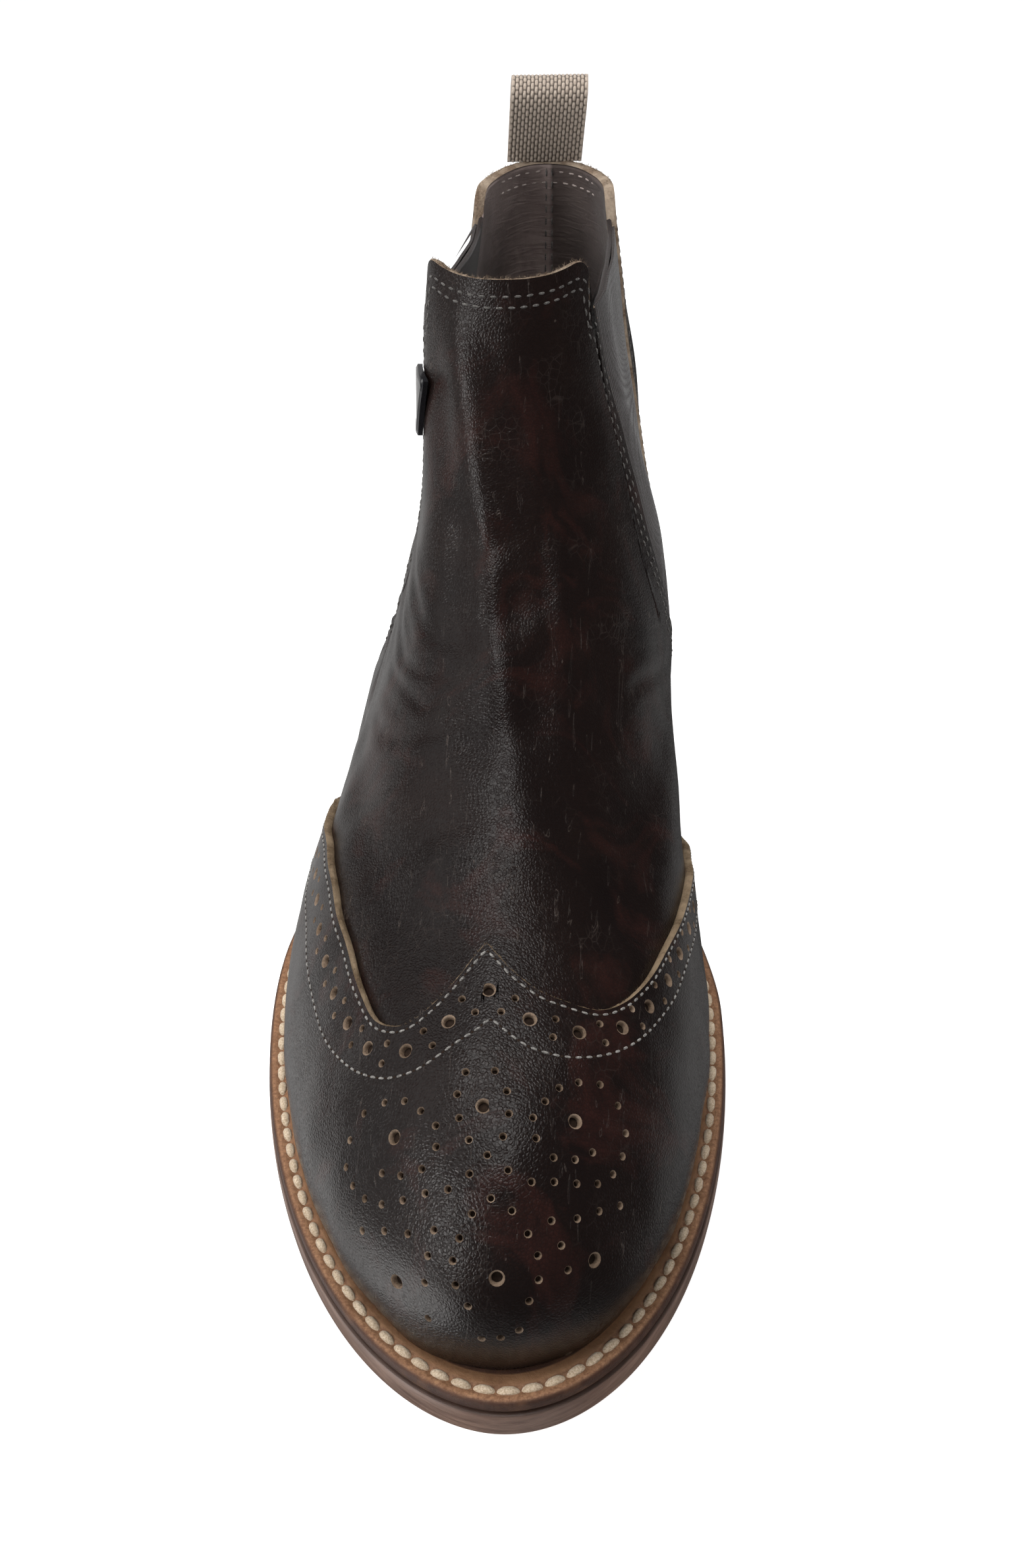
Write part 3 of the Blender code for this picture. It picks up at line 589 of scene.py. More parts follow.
def leather_look(name, red=0.5, gloss=0.0):
    """Waxed dark brown leather with reddish pull-up patches, fine pebbled grain and hairline scratches."""
    look = Look(name, 0.42, Coat_Weight=0.60 + gloss, Coat_Roughness=0.19, Specular_IOR_Level=0.10)
    slow = look.noise(0.034, 4, 0.55, twist=0.6)
    patches = look.noise(0.019, 5, 0.62, stretch=(1, 1, 0.7), twist=1.1)
    base = look.mix(look.ramp(slow, (0.30, 0.0), (0.72, 1.0)), LEATHER_DARK, LEATHER_MID)
    base = look.mix(look.ramp(patches, (0.52, 0.0), (0.78, red)), base, LEATHER_RED)
    scratch = look.noise(0.0065, 2, 0.4, stretch=(3.2, 0.35, 0.35), twist=2.0)
    lines = look.ramp(scratch, (0.685, 0.0), (0.697, 0.75), (0.709, 0.0))
    rub = look.ramp(look.noise(0.012, 5, 0.7, twist=0.4), (0.62, 0.0), (0.88, 0.16))
    base = look.mix(rub, base, LEATHER_PALE)
    base = look.mix(lines, base, LEATHER_PALE)
    pores = look.cells(0.00075)
    grain = look.noise(0.0011, 4, 0.6, twist=0.8)
    base = look.mix(look.ramp(pores, (0.0, 0.5), (0.16, 0.0)), base, (0.004, 0.003, 0.003))
    cracks = look.ramp(look.cells(0.0021, stretch=(1, 0.6, 1)), (0.0, 1.0), (0.045, 0.0))
    dry = look.ramp(look.noise(0.011, 4, 0.6), (0.50, 0.0), (0.66, 0.24))
    base = look.mix(look.math("MULTIPLY", cracks, dry), base, LEATHER_PALE)
    look.color(base)
    look.rough(look.noise(0.008, 5, 0.65), 0.34, 0.55)
    look.bump(look.noise(0.006, 4, 0.5, twist=0.5), 0.00010)
    look.bump(look.ramp(pores, (0.0, 0.0), (0.30, 1.0)), 0.00004)
    look.bump(grain, 0.00008)
    look.bump(look.math("MULTIPLY", cracks, dry), 0.00010)
    look.bump(lines, 0.00003)
    return look


def raw_edge_look(name, color, pale):
    """Cut leather edge: fibrous, matt, speckled."""
    look = Look(name, 0.9, Specular_IOR_Level=0.25)
    specks = look.noise(0.0007, 6, 0.75)
    slow = look.noise(0.006, 4, 0.6)
    base = look.mix(look.ramp(specks, (0.36, 0.0), (0.66, 1.0)), tuple(0.42 * c for c in color), color)
    base = look.mix(look.ramp(slow, (0.40, 0.0), (0.72, 0.9)), base, pale)
    look.color(base)
    look.bump(look.noise(0.0005, 5, 0.8), 0.0003)
    return look


def thread_look(name, color, dark):
    """Thread: a fine two-tone mottle with a matching bump, and a random darker tone per stitch."""
    look = Look(name, 0.72, Specular_IOR_Level=0.3, Sheen_Weight=0.15)
    strands = look.noise(0.00035, 3, 0.6, stretch=(1, 1, 1))
    base = look.mix(look.ramp(strands, (0.35, 0.0), (0.65, 1.0)), dark, color)
    base = look.mix(look.ramp(look.value("shade"), (0.0, 0.0), (1.0, 0.28)), base, dark)
    look.color(base)
    look.bump(strands, 0.00012)
    return look


def make_looks():
    looks = {
        "vamp": leather_look("vamp_leather", 0.55),
        "wing": leather_look("wing_leather", 0.75, 0.10),
        "edge": raw_edge_look("raw_edge", RAW_TAN, RAW_PALE),
        "wing_edge": raw_edge_look("wing_raw_edge", (0.17, 0.118, 0.072), (0.27, 0.20, 0.13)),
        "thread": thread_look("grey_thread", (0.27, 0.258, 0.24), (0.065, 0.060, 0.055)),
        "dark_thread": thread_look("dark_thread", (0.120, 0.112, 0.104), (0.024, 0.022, 0.020)),
        "welt_thread": thread_look("cream_thread", (0.63, 0.52, 0.39), (0.34, 0.25, 0.165)),
    }
    hole = Look("hole_dark", 0.9, Specular_IOR_Level=0.1)
    hole.color(hole.mix(hole.noise(0.0006, 3), (0.006, 0.004, 0.0035), (0.03, 0.019, 0.013)))
    looks["hole"] = hole

    welt = Look("welt", 0.62, Specular_IOR_Level=0.4)
    band = welt.value("band")
    tan = welt.mix(welt.noise(0.0014, 6, 0.7), (0.17, 0.078, 0.036), (0.37, 0.205, 0.108))
    rough_tan = welt.mix(welt.ramp(welt.noise(0.0008, 6, 0.8), (0.38, 0.0), (0.62, 1.0)),
                         (0.13, 0.058, 0.030), (0.30, 0.165, 0.090))
    dark = welt.mix(welt.noise(0.002, 5, 0.6), (0.022, 0.011, 0.008), (0.075, 0.033, 0.020))
    color = welt.mix(welt.ramp(band, (0.10, 0.0), (0.20, 1.0)), dark, rough_tan)
    color = welt.mix(welt.ramp(band, (0.42, 0.0), (0.50, 1.0)), color, tan)
    color = welt.mix(welt.ramp(band, (0.70, 0.0), (0.76, 1.0)), color, dark)
    scuffs = welt.ramp(welt.noise(0.009, 5, 0.65), (0.52, 0.0), (0.68, 0.55))
    color = welt.mix(scuffs, color, (0.12, 0.055, 0.026))
    welt.color(color)
    welt.rough(band, 0.42, 0.60)
    welt.bump(welt.noise(0.0007, 5, 0.75), 0.00022)
    looks["welt"] = welt

    sole = Look("sole_edge", 0.36, Coat_Weight=0.18, Coat_Roughness=0.3, Specular_IOR_Level=0.5)
    streak = sole.noise(0.004, 5, 0.6, stretch=(0.35, 0.35, 3.5), twist=0.4)
    color = sole.mix(sole.ramp(streak, (0.30, 0.0), (0.70, 1.0)), (0.095, 0.050, 0.035), (0.200, 0.121, 0.087))
    color = sole.mix(sole.ramp(sole.value("band"), (0.88, 0.0), (0.97, 0.7)), color, (0.022, 0.012, 0.010))
    color = sole.mix(sole.ramp(sole.noise(0.02, 4), (0.45, 0.0), (0.75, 0.5)), color, (0.045, 0.024, 0.018))
    sole.color(color)
    sole.rough(streak, 0.30, 0.52)
    sole.bump(streak, 0.00012)
    sole.bump(sole.noise(0.0009, 5, 0.6), 0.00006)
    looks["sole"] = sole

    tread = Look("sole_under", 0.68)
    wear = tread.noise(0.014, 6, 0.65)
    tread.color(tread.mix(tread.ramp(wear, (0.35, 0.0), (0.7, 1.0)), (0.16, 0.095, 0.060), (0.30, 0.19, 0.12)))
    tread.bump(tread.noise(0.0012, 5, 0.7), 0.00015)
    looks["tread"] = tread

    rubber = Look("heel_rubber", 0.72, Specular_IOR_Level=0.35)
    rubber.color(rubber.mix(rubber.noise(0.003, 5), (0.014, 0.012, 0.011), (0.032, 0.027, 0.024)))
    rubber.bump(rubber.noise(0.0006, 4, 0.7), 0.00012)
    looks["rubber"] = rubber

    lining = Look("lining", 0.66, Sheen_Weight=0.12, Specular_IOR_Level=0.35)
    soft = lining.noise(0.012, 5, 0.6, twist=0.5)
    wrinkle = lining.noise(0.0042, 5, 0.6, stretch=(0.45, 0.45, 2.6), twist=0.9)
    color = lining.mix(lining.ramp(soft, (0.3, 0.0), (0.7, 1.0)), (0.118, 0.088, 0.080), (0.205, 0.160, 0.148))
    color = lining.mix(lining.ramp(wrinkle, (0.60, 0.0), (0.74, 0.35)), color, (0.27, 0.225, 0.205))
    # Painted shade: where the shade value is 1, on the inner side's wall, the lining is mixed 75% towards near black.
    lining.color(lining.mix(lining.value("shade"), color, lining.mix(0.75, color, (0.016, 0.010, 0.008))))
    lining.bump(wrinkle, 0.00042)
    lining.bump(lining.noise(0.0008, 4, 0.6), 0.00008)
    looks["lining"] = lining

    elastic = Look("gore_elastic", 0.82, Sheen_Weight=0.2, Specular_IOR_Level=0.3)
    fleck = elastic.noise(0.0007, 4, 0.7)
    elastic.color(elastic.mix(fleck, (0.005, 0.0042, 0.0039), (0.022, 0.0135, 0.0118)))
    elastic.bump(fleck, 0.00012)
    looks["elastic"] = elastic

    webbing = Look("webbing", 0.68, Sheen_Weight=0.2, Specular_IOR_Level=0.35)
    fibre = webbing.noise(0.0004, 4, 0.7, stretch=(2.2, 1, 0.5))
    color = webbing.mix(webbing.ramp(fibre, (0.3, 0.0), (0.7, 1.0)), (0.235, 0.185, 0.145), (0.44, 0.375, 0.315))
    # Painted shade: the weave's low gaps between raised floats are mixed towards near black.
    color = webbing.mix(webbing.ramp(webbing.value("shade"), (0.10, 1.0), (0.62, 0.0)), color, (0.045, 0.033, 0.025))
    webbing.color(color)
    webbing.bump(fibre, 0.00010)
    looks["webbing"] = webbing

    plate = Look("plate", 0.16, Coat_Weight=0.5, Coat_Roughness=0.06)
    plate.color(plate.mix(plate.noise(0.006, 4), (0.006, 0.006, 0.007), (0.012, 0.012, 0.014)))
    plate.bump(plate.noise(0.004, 3), 0.00004)
    looks["plate"] = plate

    insole = Look("insole", 0.6)
    insole.color(insole.mix(insole.noise(0.012, 6, 0.6), (0.15, 0.105, 0.078), (0.26, 0.195, 0.15)))
    insole.bump(insole.noise(0.0009, 5), 0.0001)
    looks["insole"] = insole
    return {key: value.material for key, value in looks.items()}


# The shell of the upper: one grid that follows both gores' edges

FRONT_COLUMNS = 72
GORE_COLUMNS = 18
REAR_COLUMNS = 48
LOW_ROWS = 64
HIGH_ROWS = 132
CORNER = 6 * MM
LEATHER = 1.5 * MM


def gore_turns(inner, heights):
    """Turns of a gore's front and rear edge at those heights; below the gore its foot's places are kept."""
    front, rear = gore_sides(np.maximum(heights, GORE_BOTTOM_HEIGHT))
    return side_place(inner, front, heights)[0], side_place(inner, rear, heights)[0]


def row_heights(foot, top):
    """Heights of a column's rows: the gore's foot is always the same row."""
    low = np.linspace(0, 1, LOW_ROWS + 1)[:, None]
    high = np.linspace(0, 1, HIGH_ROWS + 1)[1:, None]
    below = foot + low * (GORE_BOTTOM_HEIGHT - foot)
    above = GORE_BOTTOM_HEIGHT + high * (top - GORE_BOTTOM_HEIGHT)
    return np.concatenate([below, above])


def corner_drop(gap):
    """How far a rounded top corner falls at a distance from the panel's side."""
    inside = np.clip(CORNER - gap, 0, CORNER)
    return CORNER - np.sqrt(CORNER**2 - inside**2)


def shell_grid():
    """Turn, level and the columns at which each gore starts and ends."""
    fixed = {}
    for inner in (True, False):
        for which in (0, 1):
            y_foot = gore_sides(np.array([GORE_BOTTOM_HEIGHT]))[which]
            foot = WELT_TOP + sole_lift(y_foot)
            top = (COLLAR_HEIGHT, BACK_PANEL_HEIGHT)[which] - CORNER
            heights = row_heights(foot, np.array([top]))[:, 0]
            fixed[inner, which] = gore_turns(inner, heights)[which]
    rows = LOW_ROWS + HIGH_ROWS + 1

    def between(a, b, count):
        share = np.linspace(0, 1, count, endpoint=False)[None, :]
        return a[:, None] + (b - a)[:, None] * share

    middle = np.zeros(rows)
    blocks = (
        between(middle, fixed[True, 0], FRONT_COLUMNS),
        between(fixed[True, 0], fixed[True, 1], GORE_COLUMNS),
        between(fixed[True, 1], middle + 0.5, REAR_COLUMNS),
        between(middle + 0.5, fixed[False, 1] + 1, REAR_COLUMNS),
        between(fixed[False, 1] + 1, fixed[False, 0] + 1, GORE_COLUMNS),
        between(fixed[False, 0] + 1, middle + 1, FRONT_COLUMNS),
    )
    turn = np.concatenate(blocks, axis=1)
    starts = np.cumsum([0] + [block.shape[1] for block in blocks])
    foot = WELT_TOP + sole_lift(row_y(FOOT_ROW, turn[0]))
    y_top = surface(turn[-1], np.full(turn.shape[1], float(TOP_LEVEL)))[:, 1]
    front_corner, back_corner = (float(v) for v in gore_sides(COLLAR_HEIGHT - CORNER))
    scoop = COLLAR_SCOOP * (1 - ease((y_top - y_top.min()) / COLLAR_SCOOP_LENGTH))
    top = np.full(turn.shape[1], GORE_TOP_HEIGHT)
    front = y_top <= front_corner + 1e-6
    back = y_top >= back_corner - 2.5 * MM
    back &= np.isin(np.arange(len(top)), np.arange(starts[2], starts[4] + 1))
    top = np.where(front, COLLAR_HEIGHT - scoop - corner_drop(front_corner - y_top), top)
    back_y = y_top[starts[2]]
    top = np.where(back, BACK_PANEL_HEIGHT - corner_drop(y_top - back_y), top)
    height = row_heights(foot, top)
    level = level_at_height(turn, height)
    level[0] = 0
    return turn, level, starts


def boundary_path(columns, starts):
    """Grid places round the shell's upper boundary, down one side of each gore and up the other."""
    rows = LOW_ROWS + HIGH_ROWS + 1
    top, foot = rows - 1, LOW_ROWS
    path = []
    for start, end in ((starts[0], starts[1]), (starts[2], starts[4]), (starts[5], starts[6])):
        path.append([(top, c) for c in range(start, end + 1)])
    down_in = [(r, starts[1]) for r in range(top - 1, foot, -1)]
    along_in = [(foot, c) for c in range(starts[1], starts[2] + 1)]
    up_in = [(r, starts[2]) for r in range(foot + 1, top)]
    down_out = [(r, starts[4]) for r in range(top - 1, foot, -1)]
    along_out = [(foot, c) for c in range(starts[4], starts[5] + 1)]
    up_out = [(r, starts[5]) for r in range(foot + 1, top)]
    places = path[0] + down_in + along_in + up_in + path[1] + down_out + along_out + up_out + path[2][:-1]
    return [(r, c % columns) for r, c in places]


EDGE_ROLL = ((0.10, -0.22), (0.24, -0.62), (0.24, -1.02), (0.12, -1.5), (0.0, -2.1), (-0.3, -2.75))


def rolled_edge(points, normals, roll=EDGE_ROLL, ragged=0.10, inside=None):
    """Rings that turn a closed boundary of a sheet round its cut edge: outwards and down, in mm."""
    along = unit(np.roll(points, -2, 0) - np.roll(points, 2, 0))
    out = unit(np.cross(along, normals))
    if inside is not None:
        out = out * np.sign(((points - inside) * out).sum(axis=1, keepdims=True))
    rings = []
    for i, (reach, depth) in enumerate(roll):
        fray = RANDOM.normal(0, ragged, len(points)) if i < len(roll) - 2 else 0
        rings.append(points + out * ((reach + fray) * MM)[..., None] * np.ones((1, 3))
                     + normals * depth * MM if i < len(roll) - 2
                     else points + out * reach * MM + normals * depth * MM)
    return rings, out


def make_shell(looks):
    """Vamp, front and back panels: outer skin with its cut edges."""
    turn, level, starts = shell_grid()
    rows, columns = turn.shape
    points = skin(turn, level)
    normals = normal(turn, level)
    faces = grid_faces(rows, columns, True)
    row, column = faces[:, 0] // columns, faces[:, 0] % columns
    in_gore = ((column >= starts[1]) & (column < starts[2])) | ((column >= starts[4]) & (column < starts[5]))
    faces = faces[~(in_gore & (row >= LOW_ROWS))]
    shell = add_mesh("upper_leather", points, faces, looks["vamp"])
    edge = boundary_path(columns, starts)
    r, c = np.array([e[0] for e in edge]), np.array([e[1] for e in edge])
    edge_points, edge_normals = points[r, c], normals[r, c]
    inner_row = np.clip(r - 3, 0, rows - 1)
    inner_column = np.where(c == starts[1], c - 3, np.where(c == starts[2], c + 3, c))
    inner_column = np.where(c == starts[4], c - 3, np.where(c == starts[5], c + 3, inner_column))
    side = np.isin(c, (starts[1], starts[2], starts[4], starts[5])) & (r < rows - 1) & (r > LOW_ROWS)
    within = points[np.where(side, r, np.where(r == LOW_ROWS, r - 3, inner_row)),
                    np.where(side, inner_column, c) % columns]
    rings, out = rolled_edge(edge_points, edge_normals, inside=within)
    rim = np.concatenate([edge_points, *rings])
    make_edge = add_mesh("upper_cut_edge", rim, grid_faces(len(rings) + 1, len(edge), True),
                         looks["edge"])
    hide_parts("upper")
    fuzz = Pile()
    top_edge = (r == rows - 1) | (side & (r > rows - 40))
    for i in np.flatnonzero(top_edge):
        for _ in range(3 if r[i] == rows - 1 else 2):
            place = edge_points[i] + edge_normals[i] * RANDOM.uniform(-1.2, -0.1) * MM
            place = place + (edge_points[(i + 1) % len(edge)] - edge_points[i]) * RANDOM.uniform()
            tuft(fuzz, place + out[i] * 0.1 * MM, out[i], edge_normals[i], RANDOM.uniform(0.4, 1.5) * MM, 0.13 * MM)
    fuzz.build("edge_fibres", looks["edge"], "upper_leather", False)
    return turn, level, starts, points, normals, make_edge


def make_lining(looks, turn, level, starts):
    """The inside: taupe lining on the front and back panels, black elastic between; the lining on the inner side is
    darkened with painted shade.
    """
    step = 2
    t, l = turn[::step, ::step], level[::step, ::step].copy()
    rows, columns = t.shape
    l[-1] -= 0.05
    base, across = surface(t, l), normal(t, l)
    seam = np.exp(-(((t - 0.5) * 300) / 1.3) ** 2) * 0.5 * MM
    fold = np.sin(base[..., 2] / (5.5 * MM) + 3 * np.sin(t * 40)) * 0.10 * MM
    inner = base - across * (UPPER_WALL - fold + seam)[..., None]
    outer = base[-1] - across[-1] * (LEATHER + 0.1 * MM)
    crown = base[-1] - across[-1] * ((UPPER_WALL + LEATHER) / 2) + np.array([0, 0, 0.35 * MM])
    points = np.concatenate([inner.reshape(-1, 3), crown, outer])
    faces = np.concatenate([grid_faces(rows, columns, True),
                            grid_faces(3, columns, True, (rows - 1) * columns)])
    # Painted shade: the lining on the inner side of the heel seam gets shade value 1, which darkens its colour.
    inner_side_painted_shade = ease((0.497 - t) / 0.004)
    shade = np.concatenate([inner_side_painted_shade.ravel(), inner_side_painted_shade[-1], inner_side_painted_shade[-1]])
    made = add_mesh("lining", points, faces[:, ::-1], [looks["lining"], looks["elastic"]],
                    True, {"shade": shade})
    column = faces[:, 0] % columns * step
    row = faces[:, 0] // columns * step
    gore = ((column >= starts[1]) & (column < starts[2])) | ((column >= starts[4]) & (column < starts[5]))
    made.data.polygons.foreach_set("material_index", (gore & (row >= LOW_ROWS)).astype(np.int32))
    return made


def make_gores(looks, turn, level, starts):
    """Ribbed elastic between the front and back panels."""
    for name, first, last in (("gore_inner", starts[1], starts[2]), ("gore_outer", starts[4], starts[5])):
        rows = np.arange(LOW_ROWS - 2, turn.shape[0])
        fine = 9
        columns = np.linspace(first - 0.6, last + 0.6, (last - first) * fine + 1)
        low, share = np.floor(columns).astype(int), columns % 1
        total = turn.shape[1]
        wrap = turn[rows][:, (low + 1) % total] + ((low + 1) // total)[None, :]
        t = turn[rows][:, low % total] * (1 - share) + wrap * share
        l = level[rows][:, low % total] * (1 - share) + level[rows][:, (low + 1) % total] * share
        top = level_at_height(t[-1], np.full(t.shape[1], GORE_TOP_HEIGHT - FIT))
        l = np.minimum(l, top[None, :])
        middle = surface(t, l)
        width = np.linalg.norm(np.diff(middle, axis=1), axis=2)
        far = np.concatenate([np.zeros((len(rows), 1)), np.cumsum(width, axis=1)], axis=1)
        rib = 0.14 * MM * np.cos(far / (1.15 * MM) * 2 * math.pi)
        swell = 0.35 * MM * np.sin(np.linspace(0, math.pi, t.shape[1]))[None, :]
        outside = skin(t, l, rib - 0.85 * MM + swell * 0)
        inside = skin(t[:, ::fine], l[:, ::fine], np.full(t[:, ::fine].shape, -1.45 * MM))
        made = add_mesh(name + "_elastic", outside, grid_faces(*t.shape), looks["elastic"])
        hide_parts(name)
        hem = Pile()
        lip = np.stack([outside[-1], (outside[-1] + np.roll(outside[-1], 1, 0)) / 2 + [0, 0, 0.3 * MM]])
        back = skin(t[-1], l[-1], np.full(t.shape[1], -1.5 * MM))
        hem.add(np.concatenate([lip[0], lip[1], back]), grid_faces(3, t.shape[1]))
        hem.build(name + "_hem", looks["elastic"], "gore_elastic")
        del inside


# The wing tip with its perforations

WING_OUT = WING_FIT + WING_THICKNESS
FLAT_TURN = 620 * MM
FLAT_UP = 78 * MM
SHEET_STEP = 1.25 * MM
LARGE_HOLE = (1.55, 1.12)
SMALL_HOLE = (0.82, 0.58)
LARGE_PITCH = 10.6 * MM

# Half of the toe's pattern of small holes, mirrored about its centre line: each row is the number of holes and
# the places, in mm across and towards the toe, that their curve runs through.
MEDALLION_CENTRE = (6.7, -125.0)
MEDALLION_ACROSS = math.radians(6.2)
MEDALLION_ALONG = math.radians(9.7)
MEDALLION_ARCS = (
    (13, (9.5, -10.4), (15.7, -17.3), (24.8, -19.2), (28.1, -11.6), (21.8, -2.0), (8.0, 1.0)),
    (4, (9.7, -6.6), (12.1, -3.9), (16.6, -4.2), (20.7, -6.6)),
    (4, (11.2, 6.5), (16.3, 5.2), (25.4, -0.1)),
    (5, (6.5, 8.9), (8.3, 14.0), (3.6, 20.2)),
    (3, (12.7, 9.8), (13.7, 13.1), (13.5, 15.9)),
    (4, (2.9, -19.6), (5.3, -13.5), (3.3, -6.6)),
    (2, (3.7, -0.6), (3.8, 5.7)),
)
MEDALLION_MIDDLE = ((0, -3.4), (0, 3.8), (0, 20.6))
MEDALLION_LARGE = ((0, -12.6), (17.8, -11.2), (-17.8, -11.2), (0, 15.2), (19.1, 9.9), (-19.1, 9.9))


def wing_levels(turn):
    """The levels of the wing's foot and of its raw edge at those turns."""
    places, shares = zip(*WING_EDGE)
    foot = surface(turn, np.zeros(turn.shape))[..., 2] + WING_FOOT_GAP
    edge = np.maximum(curve_through(places, shares, turn) * WING_PEAK_HEIGHT, foot + WING_END_WIDTH)
    return level_at_height(turn, foot), level_at_height(turn, edge)


def wing_place(flat):
    """Turn and level of places on the flattened wing."""
    turn = flat[..., 0] / FLAT_TURN
    low, high = wing_levels(turn)
    return turn, low + flat[..., 1] / FLAT_UP * (high - low)


def wing_point(flat, offset=WING_OUT):
    turn, level = wing_place(flat)
    return skin(turn, level, np.full(turn.shape, offset))


def flat_frames(flat):
    """At places on the flattened wing, the 2 by 2 step on the flat for a millimetre step on the leather."""
    step = 0.2 * MM
    right = (wing_point(flat + [step, 0]) - wing_point(flat - [step, 0])) / (2 * step)
    up = (wing_point(flat + [0, step]) - wing_point(flat - [0, step])) / (2 * step)
    first = unit(right)
    second = up - first * (up * first).sum(-1, keepdims=True)
    second = unit(second)
    metric = np.stack([
        np.stack([(right * first).sum(-1), (up * first).sum(-1)], -1),
        np.stack([(right * second).sum(-1), (up * second).sum(-1)], -1),
    ], -2)
    return np.linalg.inv(metric), first, second


def band_line(share, ends=0.283, count=700):
    """A row along the band on the flattened wing: share 0 is the raw edge, 1 the band's lower line."""
    turn = np.linspace(-ends, ends, count)
    low, high = wing_levels(turn)
    places, shares = zip(*BAND_FOOT)
    foot = level_at_height(turn, curve_through(places, shares, turn) * WING_PEAK_HEIGHT)
    level = high + (foot - high) * share
    return np.stack([turn * FLAT_TURN, np.maximum((level - low) / (high - low) * FLAT_UP, 1.5 * MM)], axis=1)


def medallion_places():
    """Plan places of the toe's small and large holes."""
    across = np.array([math.cos(MEDALLION_ACROSS), math.sin(MEDALLION_ACROSS)])
    along = np.array([math.sin(MEDALLION_ALONG), -math.cos(MEDALLION_ALONG)])
    small = list(MEDALLION_MIDDLE)
    for count, *through in MEDALLION_ARCS:
        through = np.array(through, float)
        fine = np.stack([curve_through(np.arange(len(through)), through[:, k],
                                       np.linspace(0, len(through) - 1, 60)) for k in (0, 1)], 1)
        far = np.concatenate([[0], np.cumsum(np.linalg.norm(np.diff(fine, axis=0), axis=1))])
        for at in np.linspace(0, far[-1], count):
            a, b = np.interp(at, far, fine[:, 0]), np.interp(at, far, fine[:, 1])
            small += [(a, b), (-a, b)]
    place = lambda pairs: (np.array(MEDALLION_CENTRE) + np.outer([p[0] for p in pairs], across)
                           + np.outer([p[1] for p in pairs], along)) * MM
    return place(small), place(MEDALLION_LARGE)


def hole_ring(centres, radii, sides):
    """Flattened rings whose places lie at a true distance round each centre, by Newton steps on the leather."""
    angle = np.arange(sides) / sides * 2 * math.pi
    frames, first, second = flat_frames(centres)
    spokes = np.cos(angle)[:, None] * first[:, None] + np.sin(angle)[:, None] * second[:, None]
    goal = wing_point(centres)[:, None, None] + radii[None, :, None, None] * spokes[:, None]
    step = np.stack([np.cos(angle), np.sin(angle)], 1) * radii[:, None, None]
    flat = centres[:, None, None] + np.einsum("hij,rsj->hrsi", frames, step)
    for _ in range(3):
        here, right, up = flat_frames(flat)
        miss = goal - wing_point(flat)
        miss = np.stack([(miss * right).sum(-1), (miss * up).sum(-1)], -1)
        flat = flat + np.einsum("...ij,...j->...i", here, miss) * 0.9
        flat[..., 1] = np.minimum(flat[..., 1], FLAT_UP - 0.3 * MM)
    return flat


def flat_under(plan):
    """Finds the flattened place whose leather lies over each plan place, by Newton steps."""
    field = np.stack(np.meshgrid(np.linspace(-0.2, 0.2, 81) * FLAT_TURN,
                                 np.linspace(0, FLAT_UP, 41), indexing="ij"), -1).reshape(-1, 2)
    seen = wing_point(field)
    flat = np.array([field[np.argmin(((seen[:, :2] - p) ** 2).sum(1) - 0.02 * seen[:, 2] * MM)] for p in plan])
    step = 0.1 * MM
    for _ in range(6):
        here = wing_point(flat)[:, :2]
        right = (wing_point(flat + [step, 0])[:, :2] - here) / step
        up = (wing_point(flat + [0, step])[:, :2] - here) / step
        slope = np.stack([right, up], -1)
        flat = flat + np.linalg.solve(slope, (plan - here)[..., None])[..., 0] * 0.9
        flat[:, 1] = np.clip(flat[:, 1], 1 * MM, FLAT_UP - 1 * MM)
    return flat


def band_holes():
    """Large holes down the middle of the band, with a pair of small ones between each two."""
    turn = np.linspace(-0.283, 0.283, 700)
    line = band_line(0.5 + 0.12 * np.exp(-((turn / 0.05) ** 2)))
    world = wing_point(line)
    far = np.concatenate([[0], np.cumsum(np.linalg.norm(np.diff(world, axis=0), axis=1))])
    centre = np.interp(0, line[:, 0], far)
    large, small = [], []
    reach = int(min(centre, far[-1] - centre) / LARGE_PITCH)
    for i in range(-reach, reach + 1):
        for shift, kind in ((0, large), (0.5, small)):
            at = centre + (i + shift) * LARGE_PITCH
            if 2 * MM < at < far[-1] - 2 * MM:
                kind.append((np.interp(at, far, line[:, 0]), np.interp(at, far, line[:, 1])))
    large, small = np.array(large), np.array(small)
    frames, _, _ = flat_frames(small)
    ahead = np.stack([np.interp(small[:, 0] + 2 * MM, line[:, 0], line[:, 0]),
                      np.interp(small[:, 0] + 2 * MM, line[:, 0], line[:, 1])], 1)
    run = np.linalg.solve(frames, (ahead - small)[..., None])[..., 0]
    run = unit(run)
    across = np.stack([-run[:, 1], run[:, 0]], 1) * 2.1 * MM
    pairs = [small + (frames @ (sign * across)[..., None])[..., 0] for sign in (-1, 1)]
    return large, np.concatenate(pairs)


